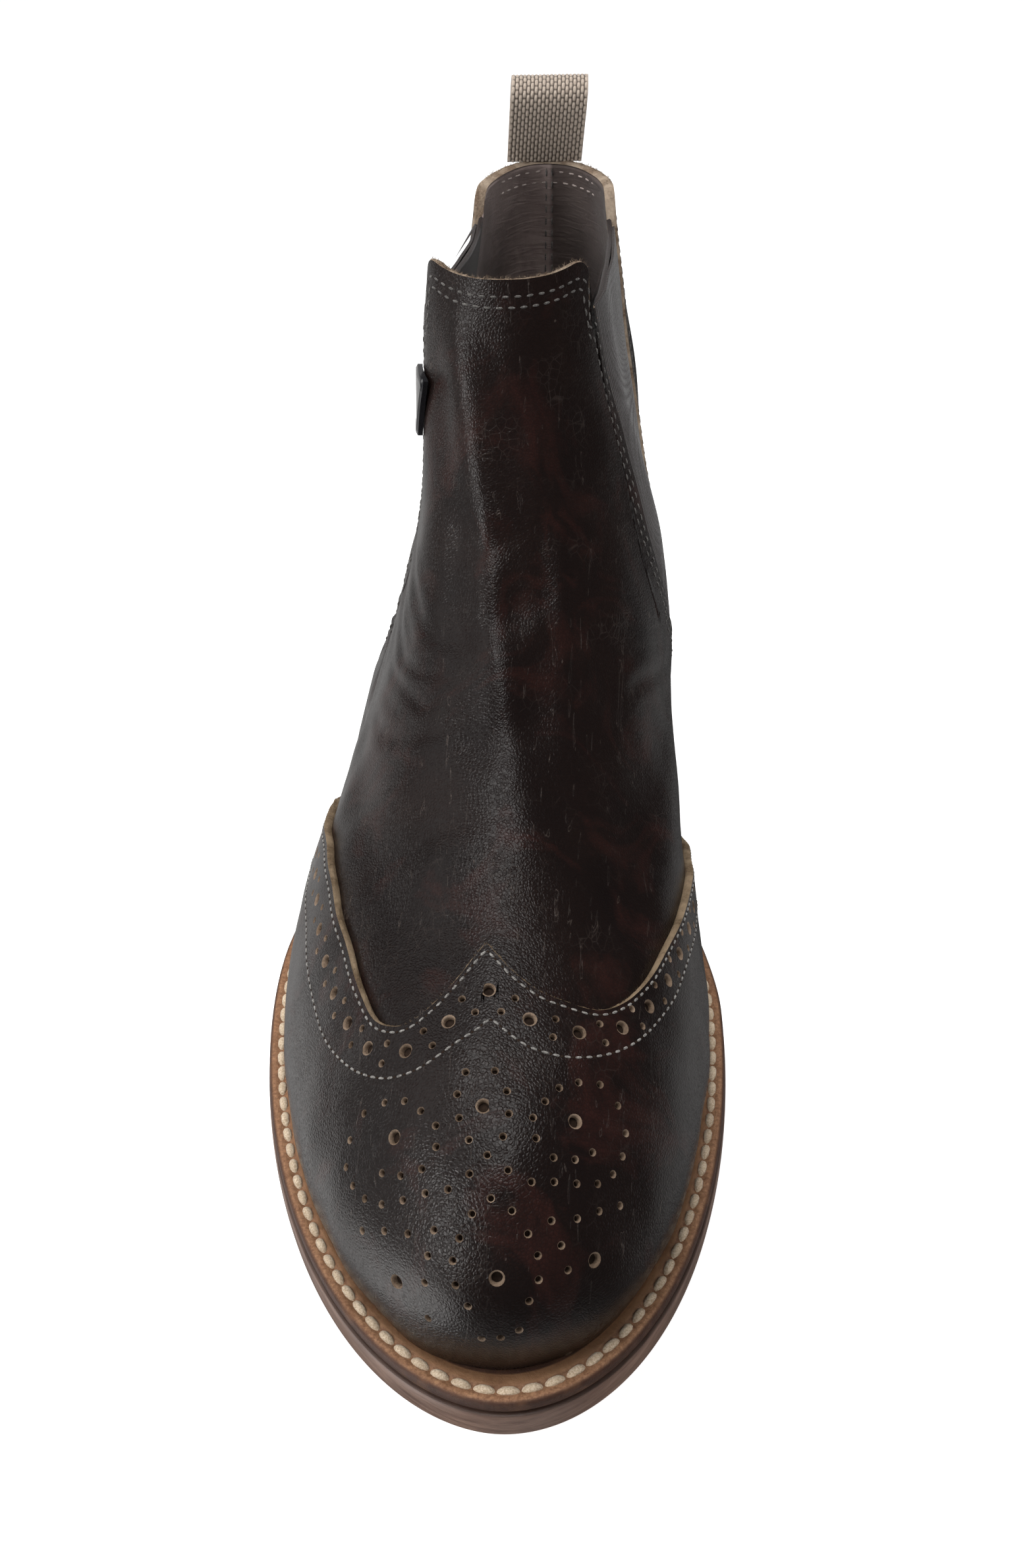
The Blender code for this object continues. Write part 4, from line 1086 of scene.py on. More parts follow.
def make_wing(looks):
    """The perforated wing tip: a sheet triangulated round its holes, its raw edge, lips and dark hole floors."""
    toe_small, toe_large = medallion_places()
    band_large, band_small = band_holes()
    holes = [(p, LARGE_HOLE, 16) for p in np.concatenate([flat_under(toe_large), band_large])]
    holes += [(p, SMALL_HOLE, 10) for p in np.concatenate([flat_under(toe_small), band_small])]
    centres = np.array([h[0] for h in holes])
    frames, first, second = flat_frames(centres)
    ends = 0.29 * FLAT_TURN
    wide, tall = int(2 * ends / SHEET_STEP), int(FLAT_UP / SHEET_STEP)
    grid = np.stack(np.meshgrid(np.linspace(-ends, ends, wide), np.linspace(0, FLAT_UP, tall), indexing="ij"), -1)
    border = np.zeros((wide, tall), bool)
    border[[0, -1]] = True
    border[:, [0, -1]] = True
    loose = grid[~border]
    keep = np.ones(len(loose), bool)
    back = np.linalg.inv(frames)
    for i, (centre, (rim, _), _) in enumerate(holes):
        gap = (loose - centre) @ back[i].T
        keep &= np.linalg.norm(gap, axis=1) > (rim + 0.55) * MM
    rim_path = np.concatenate([grid[:, 0], grid[-1, 1:], grid[-2::-1, -1], grid[0, -2:0:-1]])
    flat = [rim_path]
    edges = [(i, (i + 1) % len(rim_path)) for i in range(len(rim_path))]
    count = len(rim_path)
    for shape in (LARGE_HOLE, SMALL_HOLE):
        which = [i for i, hole in enumerate(holes) if hole[1] == shape]
        sides = holes[which[0]][2]
        for ring in hole_ring(centres[which], np.array([shape[0]]) * MM, sides)[:, 0]:
            flat.append(ring)
            edges += [(count + k, count + (k + 1) % sides) for k in range(sides)]
            count += sides
    flat.append(loose[keep])
    flat = np.concatenate(flat)
    found = geometry.delaunay_2d_cdt([Vector(p) for p in flat / MM], edges, [], 0, 1e-5)
    out_flat = np.array([tuple(p) for p in found[0]]) * MM
    triangles = np.array(found[2])
    middle = out_flat[triangles].mean(axis=1)
    inside = np.zeros(len(triangles), bool)
    for i, (centre, (rim, _), sides) in enumerate(holes):
        gap = (middle - centre) @ back[i].T
        inside |= np.linalg.norm(gap, axis=1) < rim * MM * math.cos(math.pi / sides) * 0.97
    triangles = triangles[~inside]
    sheet = wing_point(out_flat)
    side = np.cross(sheet[triangles[:, 1]] - sheet[triangles[:, 0]], sheet[triangles[:, 2]] - sheet[triangles[:, 0]])
    turn, level = wing_place(out_flat)
    if (side * normal(turn, level)[triangles[:, 0]]).sum() < 0:
        triangles = triangles[:, ::-1]
    wing = add_mesh("wing_tip_leather", sheet, triangles, looks["wing"])
    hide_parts("wing_tip")
    make_hole_walls(looks, holes, centres)
    make_wing_edge(looks, rim_path)
    return holes


def make_hole_walls(looks, holes, centres):
    """Rounded lips, punched walls and floors of every hole."""
    lips, floors = Pile(), Pile()
    ups = normal(*wing_place(centres))
    shapes = {hole[1:]: [] for hole in holes}
    for i, hole in enumerate(holes):
        shapes[hole[1:]].append(i)
    for ((rim, bore), sides), which in shapes.items():
        section = np.array([(rim, 0.0), ((rim * 2 + bore) / 3, 0.06), ((rim + bore * 2) / 3, 0.20),
                            (bore, 0.45), (bore * 0.97, 1.25)]) * MM
        flat = hole_ring(centres[which], section[:, 0], sides)
        points = wing_point(flat) - ups[which][:, None, None] * section[None, :, 1, None, None]
        for rings, up in zip(points, ups[which]):
            lips.add(rings.reshape(-1, 3), grid_faces(len(section), sides, True)[:, ::-1], float(sides > 12))
            floor = np.concatenate([rings[-1], rings[-1].mean(axis=0)[None] + up * 0.05 * MM])
            floors.add(floor, [[k, (k + 1) % sides, sides] for k in range(sides)])
    lips.build("hole_lips", looks["lip"], "wing_leather")
    floors.build("hole_floors", looks["hole"], "wing_leather")


def make_wing_edge(looks, rim_path):
    """The wing's cut edge, rolled down on to the vamp."""
    turn, level = wing_place(rim_path)
    points, up = wing_point(rim_path), normal(turn, level)
    inner_flat = rim_path * [0.99, 1] + [0, 0]
    inner_flat[:, 1] = np.clip(inner_flat[:, 1], 2 * MM, FLAT_UP - 2 * MM)
    inside = wing_point(inner_flat)
    roll = ((0.12, -0.18), (0.30, -0.55), (0.34, -1.0), (0.28, -1.45), (0.15, -1.85), (0.0, -2.0))
    rings, out = rolled_edge(points, up, roll, 0.10, inside)
    fuzz = Pile()
    for i in np.flatnonzero(rim_path[:, 1] > FLAT_UP - 1 * MM):
        for _ in range(3):
            place = points[i] + (points[(i + 1) % len(points)] - points[i]) * RANDOM.uniform()
            place = place - up[i] * RANDOM.uniform(0.1, 1.3) * MM + out[i] * 0.15 * MM
            tuft(fuzz, place, out[i], up[i], RANDOM.uniform(0.3, 0.8) * MM, 0.10 * MM)
    fuzz.build("wing_edge_fibres", looks["wing_edge"], "wing_leather", False)
    add_mesh("wing_cut_edge", np.concatenate([points, *rings]), grid_faces(len(rings) + 1, len(points), True),
             looks["wing_edge"])


def make_wing_stitches(looks):
    """One row just below the raw edge, and one below the perforated band."""
    pile = Pile()
    pits = Pile()
    for share in (0.10, 1.0):
        line = band_line(share)
        turn, level = wing_place(line)
        path, ups = wing_point(line), normal(turn, level)
        sew(pile, path, ups, 2.35 * MM, 1.75 * MM, 0.56 * MM, 0.44 * MM, -0.02 * MM)
        sew(pits, path, ups, 2.35 * MM, 0.75 * MM, 0.50 * MM, 0.16 * MM, 0.0, phase=0.0)
    pile.build("wing_stitches", looks["thread"], "wing_leather")
    pits.build("wing_stitch_pits", looks["hole"], "wing_leather")


# Panel stitches and the lining's stitches

def make_panel_stitches(looks, turn, level, starts):
    """A double row round the front panel's top and sides, a row on the back panel, and the lining's rows."""
    outer, inner = Pile(), Pile()
    rows = turn.shape[0]
    for gap in (3.4 * MM, 5.6 * MM):
        path, ups = [], []
        for first, last, sign in ((starts[5], starts[6], -1), (0, starts[1], 1)):
            columns = np.arange(first, last + 1) % turn.shape[1]
            side = starts[5] if sign < 0 else starts[1]
            t_top = turn[-1, columns] + (1 if sign > 0 else 0)
            height = surface(t_top, level[-1, columns])[:, 2] - gap
            l_top = level_at_height(t_top, height)
            y = surface(t_top, l_top)[:, 1]
            corner = gore_sides(height)[0] - gap
            keep = y < corner
            run = np.stack([t_top[keep], l_top[keep]], 1)
            heights = np.linspace(height[keep][0 if sign < 0 else -1] - 0.5 * MM, GORE_BOTTOM_HEIGHT + 2 * MM, 150)
            t_side, l_side = side_place(sign > 0, gore_sides(heights)[0] - gap, heights)
            down = np.stack([t_side + 1, l_side], 1)
            path.append(np.concatenate([down[::-1], run]) if sign < 0 else np.concatenate([run, down]))
            del side
        line = np.concatenate(path)
        points = skin(line[:, 0], line[:, 1])
        ups = normal(line[:, 0], line[:, 1])
        sew(outer, points, ups, 2.9 * MM, 2.0 * MM, 0.55 * MM, 0.42 * MM)
    for gap in (2.6 * MM, 4.8 * MM):
        for is_inner in (True, False):
            heights = np.linspace(GORE_BOTTOM_HEIGHT + 3 * MM, BACK_PANEL_HEIGHT - CORNER, 160)
            t, l = side_place(is_inner, gore_sides(heights)[1] + gap, heights)
            sew(outer, skin(t, l), normal(t, l), 2.9 * MM, 2.0 * MM, 0.5 * MM, 0.4 * MM)
    back_t = np.linspace(0.5 - 0.115, 0.5 + 0.115, 120)
    for drop in (2.4 * MM, 5.4 * MM):
        l = level_at_height(back_t, np.full(back_t.shape, BACK_PANEL_HEIGHT - drop))
        base, across = surface(back_t, l), normal(back_t, l)
        sew(inner, base - across * UPPER_WALL, -across, 3.2 * MM, 2.1 * MM, 0.5 * MM, 0.45 * MM)
        sew(outer, skin(back_t, l), across, 3.0 * MM, 2.0 * MM, 0.5 * MM, 0.4 * MM)
    outer.build("panel_stitches", looks["dark_thread"], "upper_leather")
    seam = Pile()
    for shift in (-0.0055, 0.0055):
        heights = np.linspace(70 * MM, BACK_PANEL_HEIGHT - 1 * MM, 160)
        t = np.full(heights.shape, 0.5 + shift)
        l = level_at_height(t, heights)
        base, across = surface(t, l), normal(t, l)
        sew(seam, base - across * (UPPER_WALL + 0.3 * MM), -across, 3.4 * MM, 2.3 * MM, 0.5 * MM, 0.45 * MM)
    inner.build("lining_stitches", looks["lining_thread"], "insole_leather")
    seam.build("lining_seam_stitches", looks["dark_thread"], "insole_leather")
    del rows


# Sole, welt and heel

SOLE_COLUMNS = 420


def inset_loop(row, turn, inset):
    along = (loop_point(row, turn + NUDGE) - loop_point(row, turn - NUDGE))[:, :2]
    along = unit(along)
    inward = np.stack([-along[:, 1], along[:, 0]], axis=1)
    return loop_point(row, turn)[:, :2] + inward * inset - MIDDLE[:2]


def edge_ring(row, inset, height, count=SOLE_COLUMNS):
    flat = inset_loop(row, np.arange(count) / count, inset)
    return np.column_stack([flat, height + sole_lift(flat[:, 1])])


def ring_stack(name, rings, look, values=None, closed=False, caps=False):
    count = len(rings[0])
    points = np.concatenate(rings)
    faces = grid_faces(len(rings), count, True).tolist()
    if closed:
        last = (len(rings) - 1) * count
        faces += [[last + i, last + (i + 1) % count, (i + 1) % count, i] for i in range(count)]
    if caps:
        for first, flip in ((0, True), ((len(rings) - 1) * count, False)):
            for i in range(count // 2):
                corners = [first + i, first + i + 1, first + (count - i - 1) % count, first + (count - i) % count]
                corners = list(dict.fromkeys(corners))
                faces.append(corners[::-1] if flip else corners)
    spread = None
    if values is not None:
        spread = {"band": np.repeat(values, count)}
    return add_mesh(name, points, faces, look, True, spread)


def make_outsole(looks):
    steps = 10
    rings, band = [], []
    for i in range(5):
        angle = math.pi / 2 * i / 4
        rings.append(edge_ring(SOLE_ROW, EDGE_ROUNDING * (1 - math.sin(angle)), EDGE_ROUNDING * (1 - math.cos(angle))))
        band.append(0.05 * i)
    for i in range(1, steps):
        share = i / steps
        bulge = 0.18 * MM * math.sin(math.pi * share)
        rings.append(edge_ring(SOLE_ROW, -bulge, EDGE_ROUNDING + share * (OUTSOLE_THICKNESS - 1.5 * EDGE_ROUNDING)))
        band.append(0.2 + 0.7 * share)
    rings.append(edge_ring(SOLE_ROW, 0.15 * MM, OUTSOLE_THICKNESS - 0.3 * MM))
    rings.append(edge_ring(SOLE_ROW, 0.7 * MM, OUTSOLE_THICKNESS))
    band += [0.95, 1.0]
    made = ring_stack("outsole_edge", rings, [looks["sole"], looks["tread"]], band, caps=True)
    index = np.zeros(len(made.data.polygons), np.int32)
    index[-SOLE_COLUMNS:-SOLE_COLUMNS // 2] = 1
    made.data.polygons.foreach_set("material_index", index)
    made.data.set_sharp_from_angle(angle=math.radians(50))
    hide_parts("outsole")


# The welt's section from the bottom outside, over its top, to the bottom inside: the distance in from the
# sole's edge and down from the welt's top in mm, and the place in the welt's colours.
WELT_SECTION = (
    (0.95, 3.40, 0.00), (0.55, 3.00, 0.02), (0.42, 2.20, 0.04), (0.42, 1.30, 0.06), (0.60, 0.62, 0.08),
    (0.95, 0.22, 0.12), (1.40, 0.04, 0.20), (1.90, 0.00, 0.26), (2.35, 0.06, 0.32), (2.75, 0.32, 0.36),
    (3.50, 0.62, 0.38), (4.25, 0.32, 0.40), (4.65, 0.06, 0.46), (5.10, 0.00, 0.54), (5.60, 0.02, 0.62),
)


def make_welt(looks):
    """The welt: burnished edge, rough tan band, stitch groove, smooth tan strip and dark inner band."""
    rings, band = [], []
    for inset, drop, place in WELT_SECTION:
        ring = edge_ring(SOLE_ROW, inset * MM, WELT_TOP - drop * MM)
        if 0.1 < place < 0.35:
            ring[:, 2] += RANDOM.normal(0, 0.035, SOLE_COLUMNS) * MM
        rings.append(ring)
        band.append(place)
    outer = rings[-1]
    foot = edge_ring(FOOT_ROW, -FIT * 0.5, WELT_TOP)
    turn_share = np.arange(SOLE_COLUMNS) / SOLE_COLUMNS
    for share, drop, place in ((0.25, 0.02, 0.66), (0.40, 0.22, 0.74), (0.50, 0.10, 0.80), (0.72, 0.02, 0.90),
                               (1.0, 0.0, 1.0)):
        ring = outer + (foot - outer) * share
        ring[:, 2] = WELT_TOP + sole_lift(ring[:, 1]) - drop * MM
        rings.append(ring)
        band.append(place)
    bottom = rings[-1].copy()
    bottom[:, 2] -= WELT_THICKNESS
    rings.append(bottom)
    band.append(1.0)
    made = ring_stack("welt_strip", rings, looks["welt"], band, closed=True)
    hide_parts("welt")
    pile = Pile()
    fine = 1600
    path = inset_loop(SOLE_ROW, np.arange(fine + 1) / fine, (0.5 + 3.0) * MM)
    path = np.column_stack([path, WELT_TOP - 0.28 * MM + sole_lift(path[:, 1])])
    slope = np.gradient(path[:, 2]) / np.maximum(1e-9, np.linalg.norm(np.gradient(path[:, :2], axis=0), axis=1))
    along = unit(np.gradient(path[:, :2], axis=0))
    ups = unit(np.column_stack([-along * slope[:, None], np.ones(len(path))]))
    sew(pile, path, ups, 4.75 * MM, 4.45 * MM, 1.95 * MM, 1.25 * MM, 0.18 * MM, 0.05)
    pile.build("welt_stitches", looks["welt_thread"], "welt_leather")
    del turn_share


def heel_outline(inset, height, count=121):
    breast_y = HALF_LENGTH - HEEL_BREAST_LENGTH
    share = (breast_y + HALF_LENGTH) / (2 * HALF_LENGTH)
    start = math.acos(1 - 2 * share) / (2 * math.pi)
    flat = inset_loop(SOLE_ROW, np.linspace(start, 1 - start, count), inset)
    hub = np.array([[flat[[0, -1], 0].mean(), breast_y + HEEL_BREAST_HOLLOW]])
    breast = []
    for share in np.linspace(0, 1, 14)[1:-1]:
        bow = 1 - (2 * share - 1) ** 2
        x = flat[-1, 0] + (flat[0, 0] - flat[-1, 0]) * share
        breast.append((x, flat[-1, 1] + (hub[0, 1] - flat[-1, 1]) * bow))
    flat = np.concatenate([flat, breast])
    z = height(flat[:, 1]) if callable(height) else np.full(len(flat), height)
    return np.column_stack([flat, z])


def heel_caps(rings, count):
    faces = []
    for first, flip in ((0, True), ((len(rings) - 1) * count, False)):
        corners = list(range(first, first + count))
        faces.append(corners[::-1] if flip else corners)
    return faces


def make_heel(looks):
    """Three leather lifts with fine seams, and the rubber top piece."""
    bottom = TOP_PIECE_THICKNESS + FIT

    def between(share):
        return lambda y: bottom + share * (sole_lift(y) - FIT - bottom)

    rings, band = [], []
    for lift in range(HEEL_LIFTS):
        for place, dent in ((0.0, 0.45), (0.05, 0.12), (0.14, 0.0), (0.5, -0.08), (0.86, 0.0), (0.95, 0.12), (1.0, 0.45)):
            share = (lift + place) / HEEL_LIFTS
            rings.append(heel_outline(HEEL_TAPER * (1 - share) + dent * MM, between(share)))
            band.append(0.9 if dent > 0.3 else 0.4)
    count = len(rings[0])
    faces = grid_faces(len(rings), count, True).tolist() + heel_caps(rings, count)
    made = add_mesh("heel_lifts", np.concatenate(rings), faces, looks["sole"], True,
                    {"band": np.repeat(band, count)})
    made.data.set_sharp_from_angle(angle=math.radians(50))
    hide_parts("heel_block")
    rings = [heel_outline(HEEL_TAPER + inset * MM, height * MM)
             for inset, height in ((0.7, 0), (0.2, 0.25), (0, 0.8), (0, 3), (0, 5.4), (0.25, 5.85), (0.6, 6.0))]
    faces = grid_faces(len(rings), count, True).tolist() + heel_caps(rings, count)
    made = add_mesh("heel_rubber", np.concatenate(rings), faces, looks["rubber"])
    made.data.set_sharp_from_angle(angle=math.radians(50))
    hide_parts("heel_top_piece")


# Pull loop and plate

WEAVE_COLUMNS = 20
WEAVE_ROWS_PER_MM = 0.52


def loop_section():
    """The folded webbing's middle line, from the front foot over the fold to the back foot: depth and height."""
    half_gap = LOOP_GAP / 2
    leg = LOOP_HEIGHT - half_gap - LOOP_WEBBING
    line = [(LOOP_WEBBING / 2, 0.0), (LOOP_WEBBING / 2 + half_gap / 2, leg / 2)]
    centre = half_gap + LOOP_WEBBING / 2
    for i in range(17):
        angle = math.pi * i / 16
        line.append((centre * math.cos(angle), leg + centre * math.sin(angle)))
    line += [(-LOOP_WEBBING / 2 - half_gap / 2, leg / 2), (-LOOP_WEBBING / 2, 0.0)]
    return np.array(line)


def make_loop(looks, rim):
    """Basket-woven webbing: raised warp floats, with the gaps between them darkened by painted shade."""
    line = loop_section()
    far = np.concatenate([[0], np.cumsum(np.linalg.norm(np.diff(line, axis=0), axis=1))])
    rows_of_weave = far[-1] / MM * WEAVE_ROWS_PER_MM
    rows, columns = int(rows_of_weave * 8), WEAVE_COLUMNS * 8 + 1
    at = np.linspace(0, far[-1], rows)
    smooth = np.stack([curve_through(far, line[:, k], at) for k in (0, 1)], 1)
    along = unit(np.gradient(smooth, axis=0))
    out = np.stack([along[:, 1], -along[:, 0]], 1)
    u = np.linspace(0, WEAVE_COLUMNS, columns)[None, :]
    v = (at / MM * WEAVE_ROWS_PER_MM)[:, None]
    column = np.floor(np.clip(u, 0, WEAVE_COLUMNS - 1e-6))
    cross = np.abs(np.sin(math.pi * u))
    phase = v + 0.5 * (column % 2)
    float_up = np.abs(np.sin(math.pi * phase)) ** 0.8
    raise_by = (cross**0.8) * (0.12 + 0.88 * float_up)
    edge = ease(np.minimum(u, WEAVE_COLUMNS - u) / 0.6)
    raise_by = raise_by * edge + (1 - edge) * 0.55
    half = LOOP_WEBBING / 2 - 0.32 * MM
    seat = rim
    faces, points, shades = [], [], []
    for sign in (1, -1):
        lift = half + raise_by * 0.34 * MM
        depth = smooth[:, None, 0] + sign * out[:, None, 0] * lift
        height = smooth[:, None, 1] + sign * out[:, None, 1] * lift
        x = (u / WEAVE_COLUMNS - 0.5) * LOOP_WIDTH + math.tan(LOOP_LEAN) * height
        world = np.stack([
            seat[0] + x * math.cos(LOOP_TURN) - depth * math.sin(LOOP_TURN),
            seat[1] + x * math.sin(LOOP_TURN) + depth * math.cos(LOOP_TURN),
            seat[2] + height,
        ], -1)
        quads = grid_faces(rows, columns, False, len(points) * rows * columns)
        faces.append(quads if sign > 0 else quads[:, ::-1])
        points.append(world.reshape(-1, 3))
        # The weave's relief also sets the painted shade of its low gaps in the material.
        shades.append(np.broadcast_to(raise_by, (rows, columns)).ravel())
    size = rows * columns
    border = np.concatenate([np.arange(columns), np.arange(1, rows) * columns + columns - 1,
                             (rows - 1) * columns + np.arange(columns - 2, -1, -1),
                             np.arange(rows - 2, 0, -1) * columns])
    following = np.roll(border, -1)
    faces.append(np.stack([border, border + size, following + size, following], 1))
    made = add_mesh("loop_webbing", np.concatenate(points), np.concatenate(faces), looks["webbing"],
                    True, {"shade": np.concatenate(shades)})
    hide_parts("pull_loop")


def make_plate(looks):
    """A plain dark plate with softly rounded corners and a raised border, bare of any mark."""
    steps = 17
    grid = np.linspace(-1, 1, steps)
    a, b = np.meshgrid(grid, grid, indexing="ij")
    square = a * np.sqrt(1 - 0.10 * b**8), b * np.sqrt(1 - 0.10 * a**8)
    z = PLATE_HEIGHT + PLATE_LENGTH / 2 * square[0]
    y = PLATE_SETBACK + PLATE_WIDTH / 2 * square[1]
    turn, level = side_place(False, y, z)
    near_edge = np.maximum(np.abs(a), np.abs(b))
    top = PLATE_THICKNESS - 0.45 * MM * ease((near_edge - 0.90) / 0.1) - 0.16 * MM * (near_edge < 0.80)
    face = surface(turn, level) + normal(turn, level) * (FIT + top)[..., None]
    back = surface(turn, level) + normal(turn, level) * FIT
    points = np.concatenate([face.reshape(-1, 3), back.reshape(-1, 3)])
    faces = grid_faces(steps, steps).tolist() + grid_faces(steps, steps, False, steps * steps)[:, ::-1].tolist()
    border = np.concatenate([np.arange(steps), np.arange(1, steps) * steps + steps - 1,
                             (steps - 1) * steps + np.arange(steps - 2, -1, -1), np.arange(steps - 2, 0, -1) * steps])
    for here, there in zip(border, np.roll(border, -1)):
        faces.append([int(here), int(there), int(there) + steps * steps, int(here) + steps * steps])
    made = add_mesh("side_plate_cover", points, faces, looks["plate"])
    made.data.set_sharp_from_angle(angle=math.radians(40))
    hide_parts("side_plate")


# Stage: floor, lights and camera

CAMERA_PLACE = (0.0275, -0.2944, 0.2925)
CAMERA_YAW = math.radians(-4.9)
CAMERA_PITCH = math.radians(39.44)
CAMERA_ROLL = math.radians(-0.93)
FOCAL_PIXELS = 2250
IMAGE_HEIGHT = 2380


def make_camera():
    forward = Vector((math.sin(CAMERA_YAW) * math.cos(CAMERA_PITCH), math.cos(CAMERA_YAW) * math.cos(CAMERA_PITCH),
                      -math.sin(CAMERA_PITCH)))
    right = Vector((math.cos(CAMERA_YAW), -math.sin(CAMERA_YAW), 0))
    up = right.cross(forward)
    rolled_right = right * math.cos(CAMERA_ROLL) + up * math.sin(CAMERA_ROLL)
    rolled_up = -right * math.sin(CAMERA_ROLL) + up * math.cos(CAMERA_ROLL)
    data = bpy.data.cameras.new("camera")
    data.sensor_width = 36
    data.lens = 36 * FOCAL_PIXELS / IMAGE_HEIGHT
    data.clip_start = 0.01
    camera = bpy.data.objects.new("camera", data)
    turned = Matrix((rolled_right, rolled_up, -forward)).transposed()
    camera.matrix_world = Matrix.Translation(CAMERA_PLACE) @ turned.to_4x4()
    bpy.context.scene.collection.objects.link(camera)
    bpy.context.scene.camera = camera


def add_fill(name, place, aim, size, power):
    """A soft light that isn't mirrored in the leather."""
    data = bpy.data.lights.new(name, "AREA")
    data.shape = "RECTANGLE"
    data.size, data.size_y = size
    data.energy = power
    light = bpy.data.objects.new(name, data)
    light.location = place
    light.visible_glossy = False
    light.rotation_euler = (Vector(aim) - Vector(place)).to_track_quat("-Z", "Y").to_euler()
    bpy.context.scene.collection.objects.link(light)


# Windows of light round the boot: azimuth range, height range, softness in degrees and radiance. Azimuth 0 is
# in front of the toe and grows towards the inner side.
WINDOWS = (
    (-125, -75, 30, 68, 9, 0.75),
    (-62, -38, 22, 42, 6, 5.8),
    (-104, -60, -5, 30, 10, 0.3),
    (-122, -104, -1, 9, 5, 1.6),
    (-60, -25, -5, 18, 8, 0.45),
    (-125, -82, -50, -18, 7, 0.85),
    (-170, -118, -45, -8, 8, 0.45),
    (-80, -35, -45, -8, 12, 2.6),
    (-190, 190, 76, 100, 5, 3.4),
    (98, 152, -45, -12, 7, 0.28),
    (155, 215, 5, 50, 10, 0.3),
    (-215, -155, 5, 50, 10, 0.3),
    (-30, 60, -75, -35, 18, 0.3),
)
AMBIENT = 0.04


def make_world():
    """A dim room with soft windows, the large ones on the outer side and overhead."""
    world = bpy.data.worlds.new("studio")
    bpy.context.scene.world = world
    world.use_nodes = True
    nodes, links = world.node_tree.nodes, world.node_tree.links

    def sum_up(how, a, b):
        made = nodes.new("ShaderNodeMath")
        made.operation = how
        for socket, value in zip(made.inputs, (a, b)):
            if isinstance(value, bpy.types.NodeSocket):
                links.new(value, socket)
            else:
                socket.default_value = value
        return made.outputs[0]

    def ramp_up(value, start, end):
        made = nodes.new("ShaderNodeMapRange")
        made.interpolation_type = "SMOOTHSTEP"
        links.new(value, made.inputs["Value"])
        made.inputs["From Min"].default_value = start
        made.inputs["From Max"].default_value = end
        return made.outputs["Result"]

    split = nodes.new("ShaderNodeSeparateXYZ")
    links.new(nodes.new("ShaderNodeTexCoord").outputs["Generated"], split.inputs[0])
    x, y, z = split.outputs
    azimuth = sum_up("MULTIPLY", sum_up("ARCTAN2", x, sum_up("MULTIPLY", y, -1.0)), 180 / math.pi)
    height = sum_up("MULTIPLY", sum_up("ARCSINE", z, 0.0), 180 / math.pi)
    total = AMBIENT
    for left, right, low, high, soft, radiance in WINDOWS:
        share = sum_up("MULTIPLY", ramp_up(azimuth, left - soft, left + soft), ramp_up(azimuth, right + soft, right - soft))
        share = sum_up("MULTIPLY", share, ramp_up(height, low - soft, low + soft))
        share = sum_up("MULTIPLY", share, ramp_up(height, high + soft, high - soft))
        total = sum_up("ADD", sum_up("MULTIPLY", share, radiance), total)
    world.cycles_visibility.diffuse = False
    background = nodes["Background"]
    links.new(total, background.inputs["Strength"])
    background.inputs["Color"].default_value = (1.0, 0.985, 0.97, 1)


BACKDROP_RADIUS = 3.9


def make_backdrop():
    """A white dome behind everything, seen by the camera alone, so that it lights and mirrors nothing."""
    turns = np.arange(48) / 48 * 2 * math.pi
    rings = []
    for lift in np.linspace(-0.02, 0.98, 14) * math.pi / 2:
        rings.append(np.stack([np.cos(turns) * math.cos(lift), np.sin(turns) * math.cos(lift),
                               np.full(48, math.sin(lift))], 1) * BACKDROP_RADIUS)
    mesh = bpy.data.meshes.new("backdrop")
    mesh.from_pydata(np.concatenate(rings).tolist(), [], grid_faces(len(rings), 48, True).tolist())
    dome = bpy.data.objects.new("backdrop", mesh)
    look = Look("backdrop", 1.0, Specular_IOR_Level=0.0, Emission_Strength=0.85)
    look.shader.inputs["Emission Color"].default_value = (1, 1, 1, 1)
    look.color((0.0, 0.0, 0.0))
    mesh.materials.append(look.material)
    dome.visible_glossy = dome.visible_diffuse = dome.visible_shadow = False
    bpy.context.scene.collection.objects.link(dome)


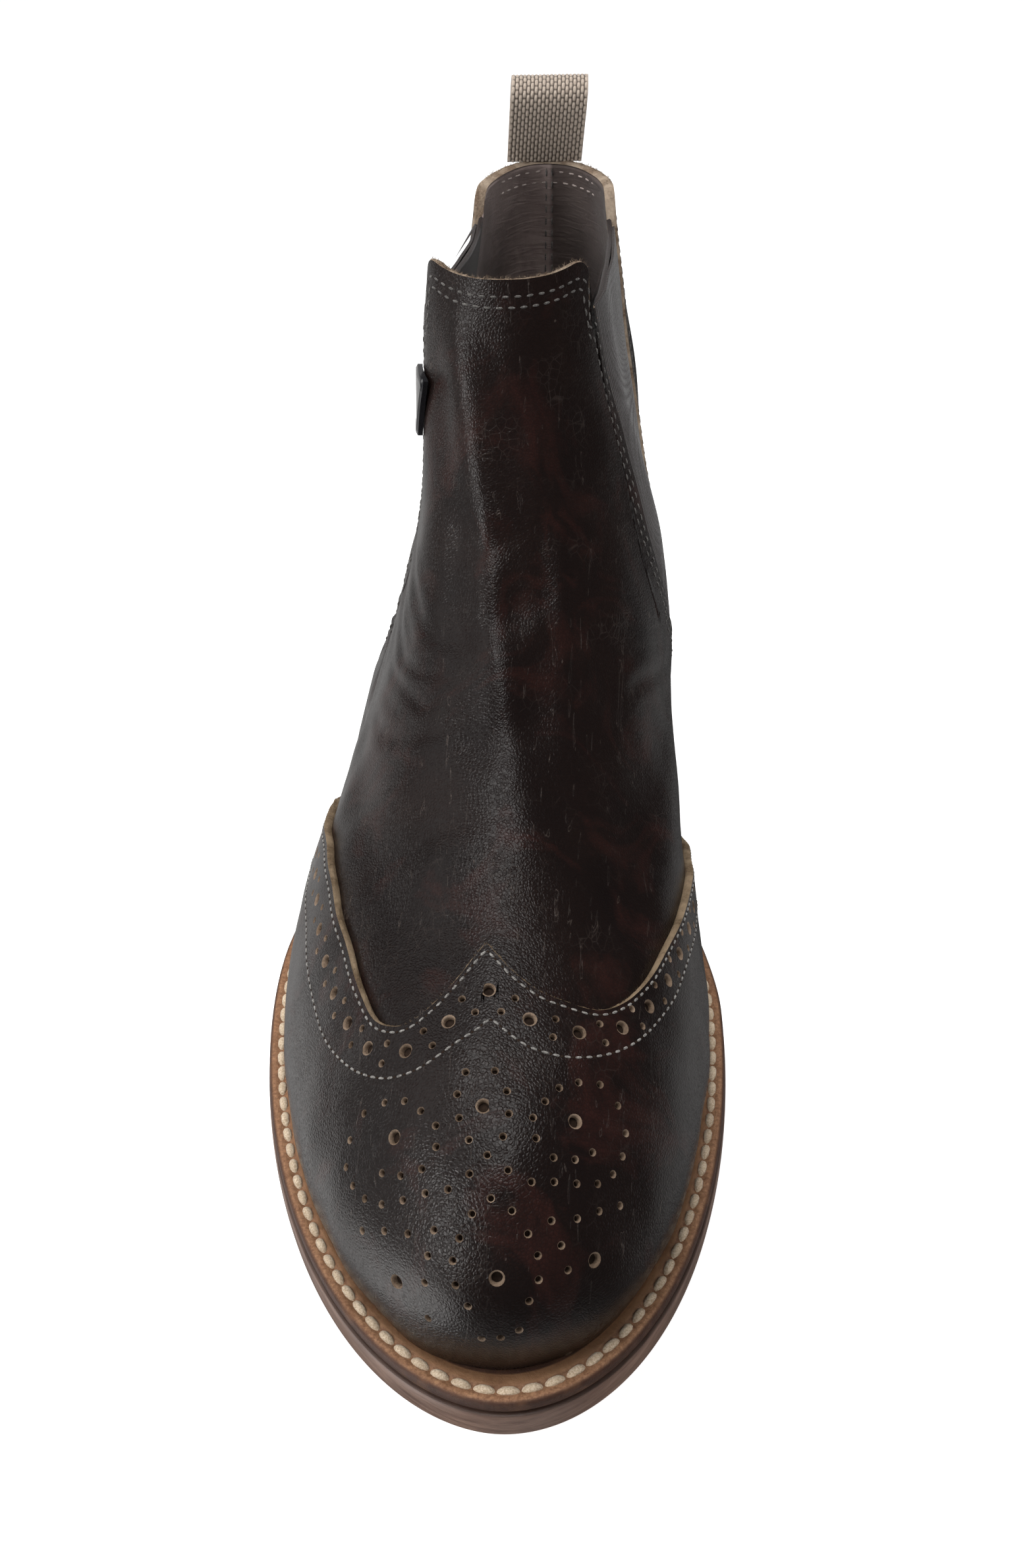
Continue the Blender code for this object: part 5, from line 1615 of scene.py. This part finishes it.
def make_stage():
    """The plain white floor and the lights that only fill in."""
    size = 4.0
    mesh = bpy.data.meshes.new("floor")
    mesh.from_pydata([(-size, -size, 0), (size, -size, 0), (size, size, 0), (-size, size, 0)], [], [(0, 1, 2, 3)])
    floor = bpy.data.objects.new("floor", mesh)
    look = Look("floor", 0.95, Specular_IOR_Level=0.1, Emission_Strength=0.85)
    look.shader.inputs["Emission Color"].default_value = (1, 1, 1, 1)
    look.color((0.5, 0.5, 0.5))
    mesh.materials.append(look.material)
    floor.visible_glossy = False
    bpy.context.scene.collection.objects.link(floor)
    make_backdrop()
    make_world()
    add_fill("fill_left", (-0.8, -0.35, 0.6), (0.0, -0.03, 0.05), (0.6, 0.6), 8.0)
    add_fill("fill_front", (0.25, -0.9, 0.7), (0.0, -0.03, 0.05), (0.6, 0.5), 2.5)
    add_fill("fill_right", (0.8, 0.1, 0.45), (0.0, 0.0, 0.08), (0.5, 0.5), 2.0)
    add_fill("fill_top", (-0.1, 0.1, 1.0), (0.0, 0.0, 0.05), (0.5, 0.5), 12.0)


def main():
    bpy.context.scene.view_settings.view_transform = "Standard"
    make_camera()
    make_stage()
    looks = make_looks()
    looks["lip"] = raw_edge_look("hole_lip", (0.155, 0.105, 0.070), (0.27, 0.20, 0.145)).material
    looks["lining_thread"] = thread_look("lining_thread", (0.40, 0.34, 0.31), (0.16, 0.13, 0.12)).material
    turn, level, starts, _, _, _ = make_shell(looks)
    make_lining(looks, turn, level, starts)
    make_gores(looks, turn, level, starts)
    make_wing(looks)
    make_wing_stitches(looks)
    make_panel_stitches(looks, turn, level, starts)
    make_outsole(looks)
    make_welt(looks)
    make_heel(looks)
    seat_turn = np.array([0.5])
    seat_level = level_at_height(seat_turn, np.array([BACK_PANEL_HEIGHT]))
    rim = surface(seat_turn, seat_level)[0] + np.array([-LOOP_SHIFT, -UPPER_WALL / 2, FIT])
    make_loop(looks, rim)
    make_plate(looks)
    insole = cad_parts["insole"]
    insole.data.materials.clear()
    insole.data.materials.append(looks["insole"])


main()
